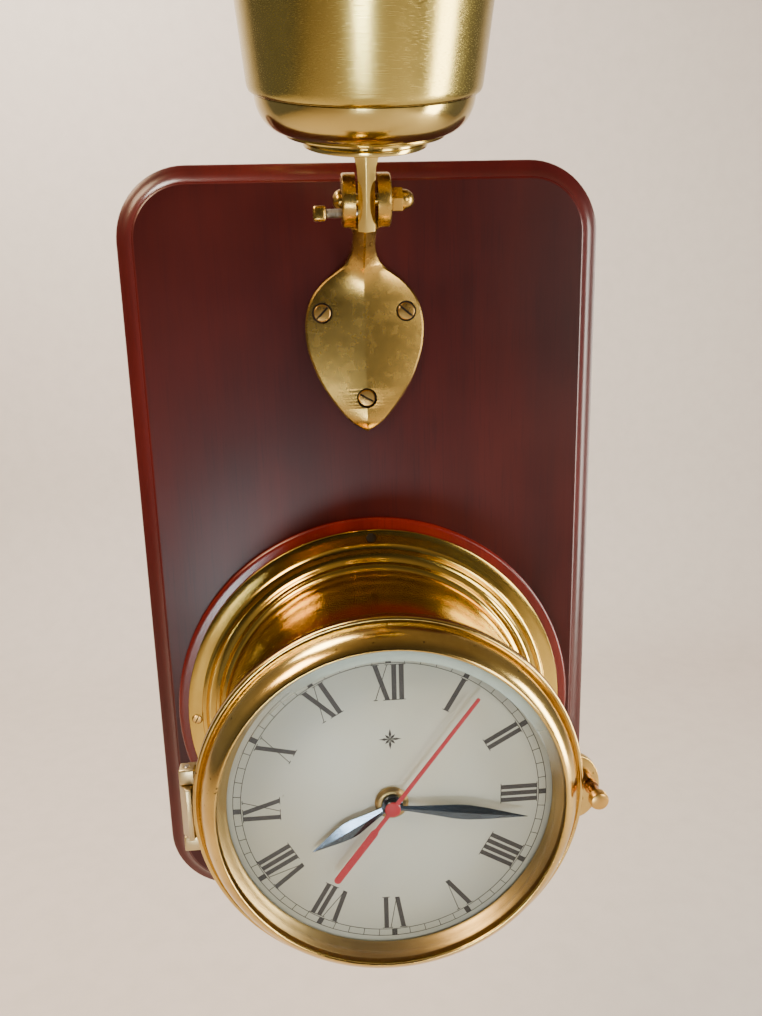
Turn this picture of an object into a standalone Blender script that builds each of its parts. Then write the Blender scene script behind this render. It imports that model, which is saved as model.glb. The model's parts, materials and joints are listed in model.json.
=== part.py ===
"""Ship's deck clock on a mahogany wall board, with a tilting brass spot lamp above it.

Frame: the origin is on the back of the board, behind the clock's centre. +X is to the
viewer's right, +Z is up and the clock faces -Y. Most pieces are drawn in a face frame
(x right, y up, h out from the board's front) and FACE puts them in place.
"""

import math

import bmesh
import bpy
from mathutils import Matrix, Vector

MM = 0.001
GAP = 0.3 * MM  # between pieces that touch on the real object
SLIDE = 0.5 * MM  # radial room of a turning or sliding fit
PIERCE = 1.0 * MM  # how far a cutter runs past the face that it opens

# Board and pad
BOARD_WIDTH = 215 * MM
BOARD_TOP = 256.2 * MM  # above the clock's centre
BOARD_BOTTOM = 102.5 * MM  # below the clock's centre
BOARD_THICK = 16 * MM
BOARD_CORNER = 32 * MM
MOULDING_WIDTH = 8.5 * MM
MOULDING_DEPTH = 5 * MM
BOARD_BACK_FRAME = 18 * MM  # how far in from the edges a hanger plate stays
PAD_MARGIN = 5.1 * MM  # how far it shows round the flange
PAD_THICK = 3.0 * MM
PAD_ROUND = 1.6 * MM

# Hanger plates, let into the back of the board
HANGER_SPACING = 110 * MM
HANGER_TOP_MARGIN = 34 * MM
HANGER_LENGTH = 44 * MM
HANGER_WIDTH = 16 * MM
HANGER_THICK = 1.6 * MM
KEYHOLE_R = 4.5 * MM
KEYHOLE_SLOT = 4.4 * MM
KEYHOLE_RISE = 9 * MM
HANGER_SCREW_OFFSET = 17 * MM
HANGER_POCKET_DEPTH = 7 * MM
SMALL_SCREW_R = 1.3 * MM
SMALL_HEAD_R = 2.6 * MM
SMALL_HEAD_H = 0.9 * MM
SMALL_SCREW_LENGTH = 8 * MM

# Case
FLANGE_R = 92 * MM
PAD_R = FLANGE_R + PAD_MARGIN
FLANGE_EDGE = 1.7 * MM
DRUM_R = 72.8 * MM
DRUM_WALL = 2.0 * MM
DRUM_MOUTH_H = 83 * MM
BACK_WALL = 2.6 * MM
SEAT_DEPTH = 4.7 * MM  # from the mouth down to the dial ring's seat
SEAT_WIDTH = 1.6 * MM
FLANGE_HOLE_RING = FLANGE_R - 4 * MM
FLANGE_HOLE_R = 2.5 * MM
WOOD_SCREW_R = 1.5 * MM
WOOD_SCREW_LENGTH = 9 * MM  # the length that is in the board
ROUND_STEPS = 36

# Dial
DIAL_H = DRUM_MOUTH_H + 4.3 * MM  # height of its front
DIAL_R = DRUM_R - 4 * MM
DIAL_THICK = 1.0 * MM
DIAL_RING_WEB = 1.5 * MM
DIAL_RING_WALL = 4.0 * MM
DIAL_RING_BORE = DIAL_R - 8.8 * MM

# Bezel
BEZEL_R = DRUM_R + 7.2 * MM
BEZEL_SIDE = 3.8 * MM
BEZEL_BEAD = 2.2 * MM
LIP_R = DRUM_R - 3 * MM
LIP_H = DRUM_MOUTH_H + 14.3 * MM
LIP_THICK = 0.8 * MM
GLASS_THICK = 1.8 * MM
GLASS_OVERLAP = 1.7 * MM
GLASS_EDGE = 0.5 * MM
REHAUT_R = LIP_R - 3.4 * MM

# Hinge, at nine o'clock
HINGE_X = -BEZEL_R - 2 * MM
HINGE_H = DRUM_MOUTH_H - 4 * MM
HINGE_CENTRE = -1.5 * MM
HINGE_R = 3.4 * MM
HINGE_PIN_R = 1.3 * MM
KNUCKLE_END = 6.7 * MM
KNUCKLE_MID = 23 * MM
LEAF_THICK = 2.2 * MM

# Latch, at three o'clock
LATCH_X = BEZEL_R + 3.3 * MM
EAR_REACH = 6.9 * MM
EAR_HALF = 14.4 * MM
LUG_HALF = 6.5 * MM
LUG_DEPTH = 6.5 * MM
THUMB_SHANK_R = 2.0 * MM
THUMB_NECK_R = 2.55 * MM
THUMB_NECK = 7.6 * MM
THUMB_HEAD_R = 3.9 * MM
THUMB_HEAD = 4.2 * MM
THUMB_REACH = 7 * MM
LATCH_PLAY = 0.7 * MM

# Hands, clockwise from twelve
HOUR_ANGLE = 240.0
MINUTE_ANGLE = 98.5
SECOND_ANGLE = 37.0
HOUR_LENGTH = DIAL_R - 30.8 * MM
MINUTE_LENGTH = DIAL_R - 12.8 * MM
SECOND_LENGTH = DIAL_R - 10.8 * MM
SECOND_TAIL = 40 * MM
SECOND_HALF = 0.8 * MM  # half of the shaft's width
TAIL_HALF = 1.8 * MM  # half of the counterpoise's width
TAIL_START = 11.4 * MM  # where the counterpoise's shoulders begin
HAND_THICK = 0.5 * MM
NUT_R = 6.9 * MM
NUT_THICK = 1.8 * MM

# Arbors and tubes of the movement
ARBOR_R = 0.5 * MM
MINUTE_TUBE = (0.8 * MM, 1.4 * MM)
HOUR_TUBE = (1.7 * MM, 2.4 * MM)
BUSH = (2.7 * MM, 3.9 * MM)

# Movement
MOVEMENT_SIZE = 56 * MM
MOVEMENT_DEPTH = 17 * MM
MOVEMENT_WALL = 1.5 * MM
CELL_R = 7.1 * MM
CELL_LENGTH = 50 * MM
CELL_NUB_R = 2.6 * MM
CELL_NUB = 1.2 * MM
CONTACT_THICK = 0.6 * MM
KNOB_R = 6.5 * MM
KNOB_THICK = 3 * MM
WHEEL_THICK = 1.0 * MM
WHEEL_WEB_GAP = 0.2 * MM
MOTION_MODULE = 0.4 * MM
TRAIN_MODULE = 0.25 * MM
CANNON_TEETH = 12
MOTION_TEETH = 36
MOTION_PINION_TEETH = 10
HOUR_TEETH = 40
KNOB_TEETH = 20
CENTRE_TEETH = 64
THIRD_TEETH = 60
SECONDS_TEETH = 60
SMALL_PINION_TEETH = 8
STEP_PINION_TEETH = 10
STEP_TEETH = 40
MOTION_DIRECTION = 180.0
KNOB_DIRECTION = 125.0
THIRD_DIRECTION = 0.0
STEP_DIRECTION = 90.0
ROTOR_DIRECTION = 45.0
ROTOR_R = 2.2 * MM

# Lamp bracket: (height above the lower tip, half width) up the leaf-shaped plate
LEAF_TIP = BOARD_TOP - 117.8 * MM
LEAF_LENGTH = 73.1 * MM
LEAF_OUTLINE = (
    (0.0, 0.5 * MM),
    (4.6 * MM, 7.3 * MM),
    (10.6 * MM, 12.6 * MM),
    (16.6 * MM, 16.8 * MM),
    (23.6 * MM, 20.9 * MM),
    (31.1 * MM, 23.9 * MM),
    (37.6 * MM, 25.8 * MM),
    (44.6 * MM, 26.7 * MM),
    (50.6 * MM, 26.5 * MM),
    (56.6 * MM, 25.3 * MM),
    (62.1 * MM, 22.6 * MM),
    (67.1 * MM, 18.6 * MM),
    (70.6 * MM, 13.2 * MM),
    (LEAF_LENGTH, 8.4 * MM),
)
LEAF_TOP = LEAF_TIP + LEAF_LENGTH
LEAF_EDGE = 2.0 * MM
LEAF_RIDGE = 4.6 * MM
NECK_WIDTH = 11.5 * MM
NECK_DEPTH = 7.0 * MM
BRACKET_SCREWS = (
    ("left", -18.8 * MM, LEAF_TIP + 53.9 * MM),
    ("right", 18.8 * MM, LEAF_TIP + 53.9 * MM),
    ("lower", 0.0, LEAF_TIP + 15.6 * MM),
)
BRACKET_SINK_R = 4.7 * MM
BRACKET_HEAD_R = 3.7 * MM
BRACKET_SINK_H = 1.4 * MM  # height of the sink's floor
PIVOT_UP = LEAF_TIP + 98.6 * MM
PIVOT_H = 32 * MM
CHEEK_R = 10.5 * MM
CHEEK_THICK = 5.5 * MM
FORK_THROAT = 19 * MM
ARM_WIDTH = 6.8 * MM
ARM_PLAY = 1.0 * MM
ARM_HALF_DEPTH = 7.0 * MM
ARM_TAIL = 11 * MM
ARM_TOP = 20.7 * MM
ARM_TOP_WIDTH = 11 * MM
PIVOT_R = 2.5 * MM
BOLT_HEAD_R = 4.3 * MM
BOLT_HEAD = 3.2 * MM
NUT_ACROSS = 9.0 * MM
NUT_HEX = 4.6 * MM
NUT_DOME = 4.8 * MM
NUT_DOME_R = 4.1 * MM
CLAMP_FORWARD = 4.6 * MM
CLAMP_DOWN = 5.2 * MM
CLAMP_R = 1.9 * MM
CLAMP_STANDOFF = 5.0 * MM
CLAMP_HEAD = 6.5 * MM
CLAMP_ACROSS = 6.4 * MM

# Lamp, along its own axis from the pivot
LAMP_LEAN = 19.0  # degrees towards the viewer
FOOT_R = 24.2 * MM
FOOT_THICK = 4.4 * MM
BRIM_R = 31.4 * MM
BASE_TOP_R = 41.8 * MM
BASE_HEIGHT = 19.2 * MM
SHELL_WALL = 1.5 * MM
BODY_R = 44.4 * MM
BODY_TOP_R = 48.2 * MM
BODY_HEIGHT = 52 * MM
RIM_HEIGHT = 6 * MM
RIM_PROUD = 1.6 * MM
LENS_THICK = 2.5 * MM
REFLECTOR_WALL = 0.8 * MM
REFLECTOR_NECK_R = 17 * MM
SOCKET_R = 14.5 * MM
SOCKET_HEIGHT = 17 * MM
BULB_R = 13.5 * MM
BULB_NECK_R = 8 * MM
GLAND_R = 4.6 * MM
GLAND_LENGTH = 9 * MM
GLAND_BORE_R = 2.6 * MM

FACE = Matrix.Translation((0, -BOARD_THICK, 0)) @ Matrix.Rotation(math.radians(90), 4, "X")
PIVOT = FACE @ Matrix.Translation((0, PIVOT_UP, PIVOT_H))
LAMP = PIVOT @ Matrix.Rotation(math.radians(LAMP_LEAN - 90), 4, "X")
ACROSS = Matrix.Rotation(math.radians(90), 4, "Y")  # turns a local Z axis along +X
RAISE = Matrix.Rotation(math.radians(-90), 4, "X")  # turns a local Z axis along +Y of the face

CASE_BACK = GAP + PAD_THICK + GAP
DRUM_BORE = DRUM_R - DRUM_WALL
DIAL_BACK = DIAL_H - DIAL_THICK
DIAL_RING_TOP = DIAL_BACK - GAP
BEZEL_BACK = DRUM_MOUTH_H - 0.4 * MM
BEZEL_BORE = LIP_R + GLASS_OVERLAP + GAP
GLASS_TOP = LIP_H - LIP_THICK - GAP
GLASS_BACK = GLASS_TOP - GLASS_THICK
HINGE_LENGTH = 2 * (KNUCKLE_END + GAP) + KNUCKLE_MID
NUT_TOP = DIAL_H + GAP + NUT_THICK
BUSH_TOP = NUT_TOP + GAP
HOUR_HAND_H = BUSH_TOP + GAP
MINUTE_HAND_H = HOUR_HAND_H + 1.6 * MM
SECOND_HAND_H = MINUTE_HAND_H + 1.5 * MM
HOUSING_FRONT = DIAL_RING_TOP - 0.1 * MM
HOUSING_BACK = HOUSING_FRONT - MOVEMENT_DEPTH
INSIDE_FRONT = HOUSING_FRONT - MOVEMENT_WALL
HOUR_WHEEL_H = INSIDE_FRONT - 2.0 * MM
MOTION_WHEEL_H = HOUR_WHEEL_H - 2.0 * MM
CENTRE_WHEEL_H = MOTION_WHEEL_H - 2.4 * MM
THIRD_WHEEL_H = CENTRE_WHEEL_H - 1.8 * MM
SECONDS_WHEEL_H = THIRD_WHEEL_H - 1.8 * MM
STEP_WHEEL_H = SECONDS_WHEEL_H - 2.4 * MM
STATOR_H = STEP_WHEEL_H - 1.8 * MM
BASE_BACK = ARM_TOP + GAP
BODY_BACK = BASE_BACK + BASE_HEIGHT + GAP
BODY_TOP = BODY_BACK + BODY_HEIGHT


def material(name, color, roughness, metallic=0.0, transmission=0.0):
    """A named Principled material."""
    made = bpy.data.materials.new(name)
    made.use_nodes = True
    shader = made.node_tree.nodes["Principled BSDF"]
    shader.inputs["Base Color"].default_value = (*color, 1.0)
    shader.inputs["Roughness"].default_value = roughness
    shader.inputs["Metallic"].default_value = metallic
    shader.inputs["Transmission Weight"].default_value = transmission
    return made


def add(name, mesh_data, finish, origin=(0, 0, 0)):
    """Makes an object of a bmesh drawn in world space, with its origin at the given point."""
    bmesh.ops.recalc_face_normals(mesh_data, faces=mesh_data.faces)
    if mesh_data.calc_volume(signed=True) < 0:
        bmesh.ops.reverse_faces(mesh_data, faces=mesh_data.faces)
    mesh_data.transform(Matrix.Translation(-Vector(origin)))
    mesh = bpy.data.meshes.new(name)
    mesh_data.to_mesh(mesh)
    mesh_data.free()
    mesh.shade_smooth()
    mesh.set_sharp_from_angle(angle=math.radians(35))
    mesh.materials.append(finish)
    made = bpy.data.objects.new(name, mesh)
    made.location = origin
    bpy.context.scene.collection.objects.link(made)
    return made


def boolean(target, operation, tools):
    """Cuts tools from the target or joins them to it."""
    for tool in tools:
        modifier = target.modifiers.new(f"{operation.lower()}_{tool.name}", "BOOLEAN")
        modifier.operation = operation
        modifier.object = tool
        modifier.solver = "EXACT"
        tool.hide_render = True
        tool.display_type = "WIRE"


def cutter(name, mesh_data):
    """A helper object for boolean()."""
    return add(name, mesh_data, bpy.data.materials["brass"])


def turned(profile, place=FACE, steps=ROUND_STEPS):
    """A closed (radius, height) outline spun about the local Z axis, then put in place."""
    made = bmesh.new()
    ring = [made.verts.new((radius, 0, height)) for radius, height in profile]
    edges = [made.edges.new(pair) for pair in zip(ring, ring[1:] + ring[:1])]
    bmesh.ops.spin(
        made,
        geom=ring + edges,
        axis=(0, 0, 1),
        cent=(0, 0, 0),
        steps=steps,
        angle=math.tau,
        use_merge=True,
    )
    bmesh.ops.remove_doubles(made, verts=made.verts, dist=1e-6)
    axis_edge = [edge for edge in made.edges if not edge.link_faces]
    bmesh.ops.delete(made, geom=axis_edge, context="EDGES")
    made.transform(place)
    return made


def disc(radius, low, high, place=FACE, steps=ROUND_STEPS):
    """A plain round disc or rod."""
    return turned(((0, low), (radius, low), (radius, high), (0, high)), place, steps)


def tube(inner, outer, low, high, place=FACE, steps=ROUND_STEPS):
    """A plain round tube."""
    return turned(((inner, low), (outer, low), (outer, high), (inner, high)), place, steps)


def slab(outline, low, high, place=FACE):
    """An (x, y) outline extruded from one height to another."""
    made = bmesh.new()
    face = made.faces.new([made.verts.new((x, y, low)) for x, y in outline])
    grown = bmesh.ops.extrude_face_region(made, geom=[face])
    top = [item for item in grown["geom"] if isinstance(item, bmesh.types.BMVert)]
    bmesh.ops.translate(made, verts=top, vec=(0, 0, high - low))
    made.transform(place)
    return made


def loft(sections, place=FACE):
    """Bridges closed sections with equal point counts and caps both ends. Warped faces would spoil a Boolean."""
    made = bmesh.new()
    rings = [[made.verts.new(point) for point in section] for section in sections]
    made.faces.new(rings[0])
    made.faces.new(rings[-1])
    for first, second in zip(rings, rings[1:]):
        edges = []
        for ring in (first, second):
            for pair in zip(ring, ring[1:] + ring[:1]):
                edges.append(made.edges.get(pair) or made.edges.new(pair))
        bmesh.ops.bridge_loops(made, edges=edges)
    bmesh.ops.triangulate(made, faces=made.faces)
    made.transform(place)
    return made


def box(width, height, low, high, centre=(0, 0), place=FACE):
    """A box centred on (x, y), from one height to another."""
    x, y = centre
    half_x, half_y = width / 2, height / 2
    corners = ((x - half_x, y - half_y), (x + half_x, y - half_y), (x + half_x, y + half_y), (x - half_x, y + half_y))
    return slab(corners, low, high, place)


def arc(centre, radius, start, end, steps):
    """Points on a circle, degrees anticlockwise from +x."""
    points = []
    for step in range(steps + 1):
        angle = math.radians(start + (end - start) * step / steps)
        points.append((centre[0] + radius * math.cos(angle), centre[1] + radius * math.sin(angle)))
    return points


def rounded_outline(left, right, bottom, top, radius, steps=6):
    """A rectangle with round corners."""
    points = []
    corners = ((right, top, 0), (left, top, 90), (left, bottom, 180), (right, bottom, 270))
    for x, y, start in corners:
        centre = (x - math.copysign(radius, x - (left + right) / 2), y - math.copysign(radius, y - (bottom + top) / 2))
        points += arc(centre, radius, start, start + 90, steps)
    return points


def quarter_round(radius_out, height, size, steps=3):
    """Profile points round an outer edge, from its side to its top face."""
    return arc((radius_out - size, height - size), size, 0, 90, steps)


def polar(distance, direction):
    """A place in the face plane, degrees anticlockwise from +x."""
    return (distance * math.cos(math.radians(direction)), distance * math.sin(math.radians(direction)))


def at(x, y, place=FACE):
    """The placing matrix moved to (x, y) of its own plane."""
    return place @ Matrix.Translation((x, y, 0))


def hole_at(x, y):
    """at(), turned a little so that a cutter's corners miss the edges of the face that it opens."""
    return at(x, y) @ Matrix.Rotation(math.radians(8), 4, "Z")


def axis_point(x, y, height=0.0, place=FACE):
    """World position of a point of the face frame, for an object's origin."""
    return place @ Vector((x, y, height))


def screw_profile(head_r, head_low, head_high, shank_r, tip):
    """A round-headed screw pointing down, with a tapered tip."""
    return (
        (0, tip),
        (shank_r * 0.35, tip),
        (shank_r, tip + 2 * shank_r),
        (shank_r, head_low),
        (head_r, head_low),
        (head_r, head_low + (head_high - head_low) * 0.55),
        (head_r * 0.72, head_high),
        (0, head_high),
    )


def board_screw(name, x, y, head_r, head_low, head_high, shank_r, length, finish):
    """A slotted screw through a piece on the board's front and into the wood."""
    made = add(name, turned(screw_profile(head_r, head_low, head_high, shank_r, -length), at(x, y), 12), finish)
    slot = box(head_r * 3, head_r * 0.24, head_high - 0.6 * MM, head_high + PIERCE, (x, y))
    boolean(made, "DIFFERENCE", [cutter(f"cut_slot_{name}", slot)])


def hanger_centres():
    """Where the two hanger plates sit, in the face frame."""
    y = BOARD_TOP - HANGER_TOP_MARGIN
    return (("left", -HANGER_SPACING / 2, y), ("right", HANGER_SPACING / 2, y))


def flange_screw_places():
    """Where the case is screwed down. The top hole has lost its screw."""
    return (
        ("right", FLANGE_HOLE_RING, 0.0),
        ("bottom", 0.0, -FLANGE_HOLE_RING),
        ("left", -FLANGE_HOLE_RING, 0.0),
        ("top", 0.0, FLANGE_HOLE_RING),
    )


def build_board(finish):
    """The board with its moulded edge, screw holes and the recesses for its hanger plates."""
    half = BOARD_WIDTH / 2
    steps = ((0.0, 0.0), (0.0, BOARD_THICK - MOULDING_DEPTH))
    sections = []
    for inset, depth in steps:
        sections.append((inset, depth - BOARD_THICK))
    for step in range(1, 5):
        angle = math.radians(90 * step / 4)
        inset = MOULDING_WIDTH * (1 - math.cos(angle))
        sections.append((inset, -MOULDING_DEPTH * (1 - math.sin(angle))))
    rings = []
    for inset, height in sections:
        outline = rounded_outline(
            -half + inset, half - inset, -BOARD_BOTTOM + inset, BOARD_TOP - inset, BOARD_CORNER - inset
        )
        rings.append([(x, y, height) for x, y in outline])
    board = add("backboard", loft(rings), finish)
    cuts = []
    for side, x, y in flange_screw_places():
        hole = disc(WOOD_SCREW_R + GAP, -WOOD_SCREW_LENGTH - PIERCE, PIERCE, hole_at(x, y), 12)
        cuts.append(cutter(f"cut_board_flange_{side}", hole))
    for side, x, y in BRACKET_SCREWS:
        hole = disc(WOOD_SCREW_R + GAP, -WOOD_SCREW_LENGTH - PIERCE, PIERCE, hole_at(x, y), 12)
        cuts.append(cutter(f"cut_board_bracket_{side}", hole))
    for side, x, y in hanger_centres():
        recess = box(
            HANGER_LENGTH + 2 * GAP,
            HANGER_WIDTH + 2 * GAP,
            -BOARD_THICK - PIERCE,
            -BOARD_THICK + HANGER_THICK + GAP,
            (x, y),
        )
        pocket = box(
            2.6 * KEYHOLE_R,
            HANGER_WIDTH - 2 * MM,
            -BOARD_THICK - PIERCE,
            -BOARD_THICK + HANGER_POCKET_DEPTH,
            (x, y),
        )
        cuts += [cutter(f"cut_recess_{side}", recess), cutter(f"cut_pocket_{side}", pocket)]
        for end in (-1, 1):
            hole = disc(
                SMALL_SCREW_R + GAP,
                -BOARD_THICK - PIERCE,
                -BOARD_THICK + SMALL_SCREW_LENGTH + PIERCE,
                at(x + end * HANGER_SCREW_OFFSET, y),
                12,
            )
            cuts.append(cutter(f"cut_hanger_hole_{side}_{end}", hole))
    boolean(board, "DIFFERENCE", cuts)


def build_pad(finish):
    """The turned wooden ring plate between the board and the case."""
    low, high = GAP, GAP + PAD_THICK
    profile = [(0, low), (PAD_R, low), *quarter_round(PAD_R, high, PAD_ROUND), (0, high)]
    pad = add("clock_pad", turned(profile), finish)
    cuts = []
    for side, x, y in flange_screw_places():
        hole = disc(WOOD_SCREW_R + GAP, low - PIERCE, high + PIERCE, hole_at(x, y), 12)
        cuts.append(cutter(f"cut_pad_{side}", hole))
    boolean(pad, "DIFFERENCE", cuts)


def build_hangers(plate_finish, screw_finish):
    """Two keyhole plates in the back of the board, each with two small screws."""
    low = -BOARD_THICK + GAP
    high = -BOARD_THICK + HANGER_THICK
    for side, x, y in hanger_centres():
        half_x, half_y = HANGER_LENGTH / 2, HANGER_WIDTH / 2
        outline = rounded_outline(x - half_x, x + half_x, y - half_y, y + half_y, 3 * MM, 3)
        plate = add(f"hanger_plate_{side}", slab(outline, low, high), plate_finish)
        key_y = y - KEYHOLE_RISE / 3
        slot = rounded_outline(
            x - KEYHOLE_SLOT / 2, x + KEYHOLE_SLOT / 2, key_y, key_y + KEYHOLE_RISE, KEYHOLE_SLOT / 2.1, 4
        )
        cuts = [
            cutter(f"cut_key_{side}", disc(KEYHOLE_R, low - PIERCE, high + PIERCE, at(x, key_y), 16)),
            cutter(f"cut_keyslot_{side}", slab(slot, low - PIERCE, high + PIERCE)),
        ]
        for number, end in enumerate((-1, 1), 1):
            screw_x = x + end * HANGER_SCREW_OFFSET
            hole = turned(
                (
                    (0, low - PIERCE),
                    (SMALL_HEAD_R + GAP, low - PIERCE),
                    (SMALL_HEAD_R + GAP, low + SMALL_HEAD_H),
                    (SMALL_SCREW_R + GAP, low + SMALL_HEAD_H),
                    (SMALL_SCREW_R + GAP, high + PIERCE),
                    (0, high + PIERCE),
                ),
                at(screw_x, y),
                16,
            )
            cuts.append(cutter(f"cut_plate_hole_{side}_{number}", hole))
            tip = -BOARD_THICK + SMALL_SCREW_LENGTH
            profile = (
                (0, low),
                (SMALL_HEAD_R, low),
                (SMALL_HEAD_R, low + SMALL_HEAD_H - GAP),
                (SMALL_SCREW_R, low + SMALL_HEAD_H - GAP),
                (SMALL_SCREW_R, tip - 2 * SMALL_SCREW_R),
                (0, tip),
            )
            add(f"hanger_screw_{side}_{number}", turned(profile, at(screw_x, y), 12), screw_finish)
        boolean(plate, "DIFFERENCE", cuts)


def build_case(finish):
    """The forged case: a ridged flange, a drum with a seat for the dial ring, and a closed back."""
    edge = CASE_BACK + FLANGE_EDGE
    seat = DRUM_MOUTH_H - SEAT_DEPTH
    profile = [
        (0, CASE_BACK),
        (FLANGE_R - 0.3 * MM, CASE_BACK),
        (FLANGE_R, CASE_BACK + 0.3 * MM),
        (FLANGE_R, edge - 0.4 * MM),
        (FLANGE_R - 0.5 * MM, edge),
        (FLANGE_R - 7 * MM, edge + 0.4 * MM),
        (FLANGE_R - 7.9 * MM, edge + 1.6 * MM),
        (FLANGE_R - 9.2 * MM, edge + 2.0 * MM),
        (FLANGE_R - 10.2 * MM, edge + 1.7 * MM),
        (DRUM_R + 6.6 * MM, edge + 2.2 * MM),
        (DRUM_R + 4.9 * MM, edge + 3.6 * MM),
        (DRUM_R + 3.9 * MM, edge + 3.9 * MM),
        (DRUM_R + 3.2 * MM, edge + 3.5 * MM),
        (DRUM_R + 1.8 * MM, edge + 3.9 * MM),
        (DRUM_R + 0.6 * MM, edge + 5.0 * MM),
        (DRUM_R, edge + 7.0 * MM),
        (DRUM_R, DRUM_MOUTH_H),
        (DRUM_BORE, DRUM_MOUTH_H),
        (DRUM_BORE, seat),
        (DRUM_BORE - SEAT_WIDTH, seat),
        (DRUM_BORE - SEAT_WIDTH, seat - 2 * MM),
        (DRUM_BORE, seat - 4 * MM),
        (DRUM_BORE, CASE_BACK + BACK_WALL + 4 * MM),
        (DRUM_BORE - 4 * MM, CASE_BACK + BACK_WALL),
        (0, CASE_BACK + BACK_WALL),
    ]
    case = add("clock_case", turned(profile), finish)
    cuts = []
    for side, x, y in flange_screw_places():
        hole = turned(
            (
                (0, CASE_BACK - PIERCE),
                (WOOD_SCREW_R + GAP, CASE_BACK - PIERCE),
                (WOOD_SCREW_R + GAP, edge - 1.0 * MM),
                (FLANGE_HOLE_R, edge - 1.0 * MM),
                (FLANGE_HOLE_R, edge + 2 * MM),
                (0, edge + 2 * MM),
            ),
            hole_at(x, y),
            12,
        )
        cuts.append(cutter(f"cut_flange_{side}", hole))
    boolean(case, "DIFFERENCE", cuts)


def build_flange_screws(finish):
    """The screws that hold the case down, in every hole but the top one."""
    seat = CASE_BACK + FLANGE_EDGE - 1.0 * MM
    for side, x, y in flange_screw_places():
        if side == "top":
            continue
        board_screw(
            f"flange_screw_{side}",
            x,
            y,
            FLANGE_HOLE_R - GAP,
            seat + GAP,
            seat + 1.9 * MM,
            WOOD_SCREW_R,
            WOOD_SCREW_LENGTH,
            finish,
        )


def build_dial(dial_finish, ring_finish):
    """The dial plate and the brass ring that carries it in the mouth of the drum."""
    seat = DRUM_MOUTH_H - SEAT_DEPTH + GAP
    outer = DRUM_BORE - GAP
    profile = (
        (outer - DIAL_RING_WALL, seat),
        (outer, seat),
        (outer, DIAL_RING_TOP),
        (DIAL_RING_BORE, DIAL_RING_TOP),
        (DIAL_RING_BORE, DIAL_RING_TOP - DIAL_RING_WEB),
        (outer - DIAL_RING_WALL, DIAL_RING_TOP - DIAL_RING_WEB),
    )
    add("dial_ring", turned(profile), ring_finish)
    add("dial", tube(BUSH[1] + GAP, DIAL_R, DIAL_BACK, DIAL_H), dial_finish)


def ear_outline():
    """The half-oval ear on the bezel, which the thumb screw passes through."""
    points = []
    for step in range(17):
        angle = math.radians(-90 + 180 * step / 16)
        reach = BEZEL_R + EAR_REACH - (BEZEL_R - 3 * MM)
        points.append((BEZEL_R - 3 * MM + reach * math.cos(angle), EAR_HALF * math.sin(angle)))
    return points


def build_bezel(finish):
    """The hinged bezel: a beaded rim, a sloping face and a lip that holds the glass from the front."""
    shoulder = BEZEL_BACK + BEZEL_SIDE
    slope = [
        (BEZEL_R - 0.4 * MM, shoulder + 0.6 * MM),
        (BEZEL_R - 1.1 * MM, shoulder + 0.9 * MM),
        (BEZEL_R - 1.8 * MM, shoulder + 0.6 * MM),
        (BEZEL_R - BEZEL_BEAD, shoulder + 0.3 * MM),
    ]
    foot = Vector((BEZEL_R - BEZEL_BEAD - 0.4 * MM, shoulder + 1.0 * MM))
    brow = Vector((LIP_R + 1.4 * MM, LIP_H))
    reach = brow - foot
    for along, bulge in ((0.0, 0.0), (0.2, 0.1), (0.4, 0.35), (0.6, 0.75), (0.8, 1.0), (0.93, 0.75)):
        point = foot + reach * along + Vector((bulge, bulge * 0.5)) * MM
        slope.append((point.x, point.y))
    slope += [(brow.x, brow.y), (LIP_R + 0.5 * MM, LIP_H), (LIP_R, LIP_H - 0.4 * MM)]
    profile = [
        (DRUM_R + SLIDE, BEZEL_BACK),
        (BEZEL_R - 0.6 * MM, BEZEL_BACK),
        (BEZEL_R, BEZEL_BACK + 0.6 * MM),
        (BEZEL_R, shoulder),
        *slope,
        (LIP_R, LIP_H - LIP_THICK),
        (BEZEL_BORE, LIP_H - LIP_THICK),
        (BEZEL_BORE, DRUM_MOUTH_H + 0.6 * MM),
        (DRUM_R + SLIDE, DRUM_MOUTH_H + 0.6 * MM),
    ]
    hinge_axis = axis_point(HINGE_X, 0, HINGE_H)
    bezel = add("bezel_ring", turned(profile), finish, hinge_axis)
    ear = slab(ear_outline(), BEZEL_BACK + GAP, shoulder - 0.4 * MM)
    boolean(bezel, "UNION", [cutter("join_ear", ear)])
    hole = disc(THUMB_SHANK_R + GAP, BEZEL_BACK - PIERCE, shoulder + PIERCE, at(LATCH_X, 0), 16)
    boolean(bezel, "DIFFERENCE", [cutter("cut_ear", hole)])


def build_glass(glass_finish, ring_finish):
    """The bevelled flat glass and the brass ring that holds it from behind."""
    radius = LIP_R + GLASS_OVERLAP
    hinge_axis = axis_point(HINGE_X, 0, HINGE_H)
    glass = (
        (0, GLASS_BACK),
        (radius, GLASS_BACK),
        (radius, GLASS_TOP - GLASS_EDGE),
        (LIP_R - 3.8 * MM, GLASS_TOP),
        (0, GLASS_TOP),
    )
    add("front_glass", turned(glass), glass_finish, hinge_axis)
    top = GLASS_BACK - GAP
    bottom = DIAL_H + 0.7 * MM
    ring = ((REHAUT_R, bottom), (radius, bottom), (radius, top), (LIP_R, top), (REHAUT_R, bottom + 0.9 * MM))
    add("glass_retaining_ring", turned(ring), ring_finish, hinge_axis)


def knuckle(low, high):
    """A hinge knuckle about the pin's axis, which runs up the face."""
    place = FACE @ Matrix.Translation((HINGE_X, 0, HINGE_H)) @ RAISE
    return tube(HINGE_PIN_R + GAP / 2, HINGE_R, low, high, place, 16)


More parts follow.
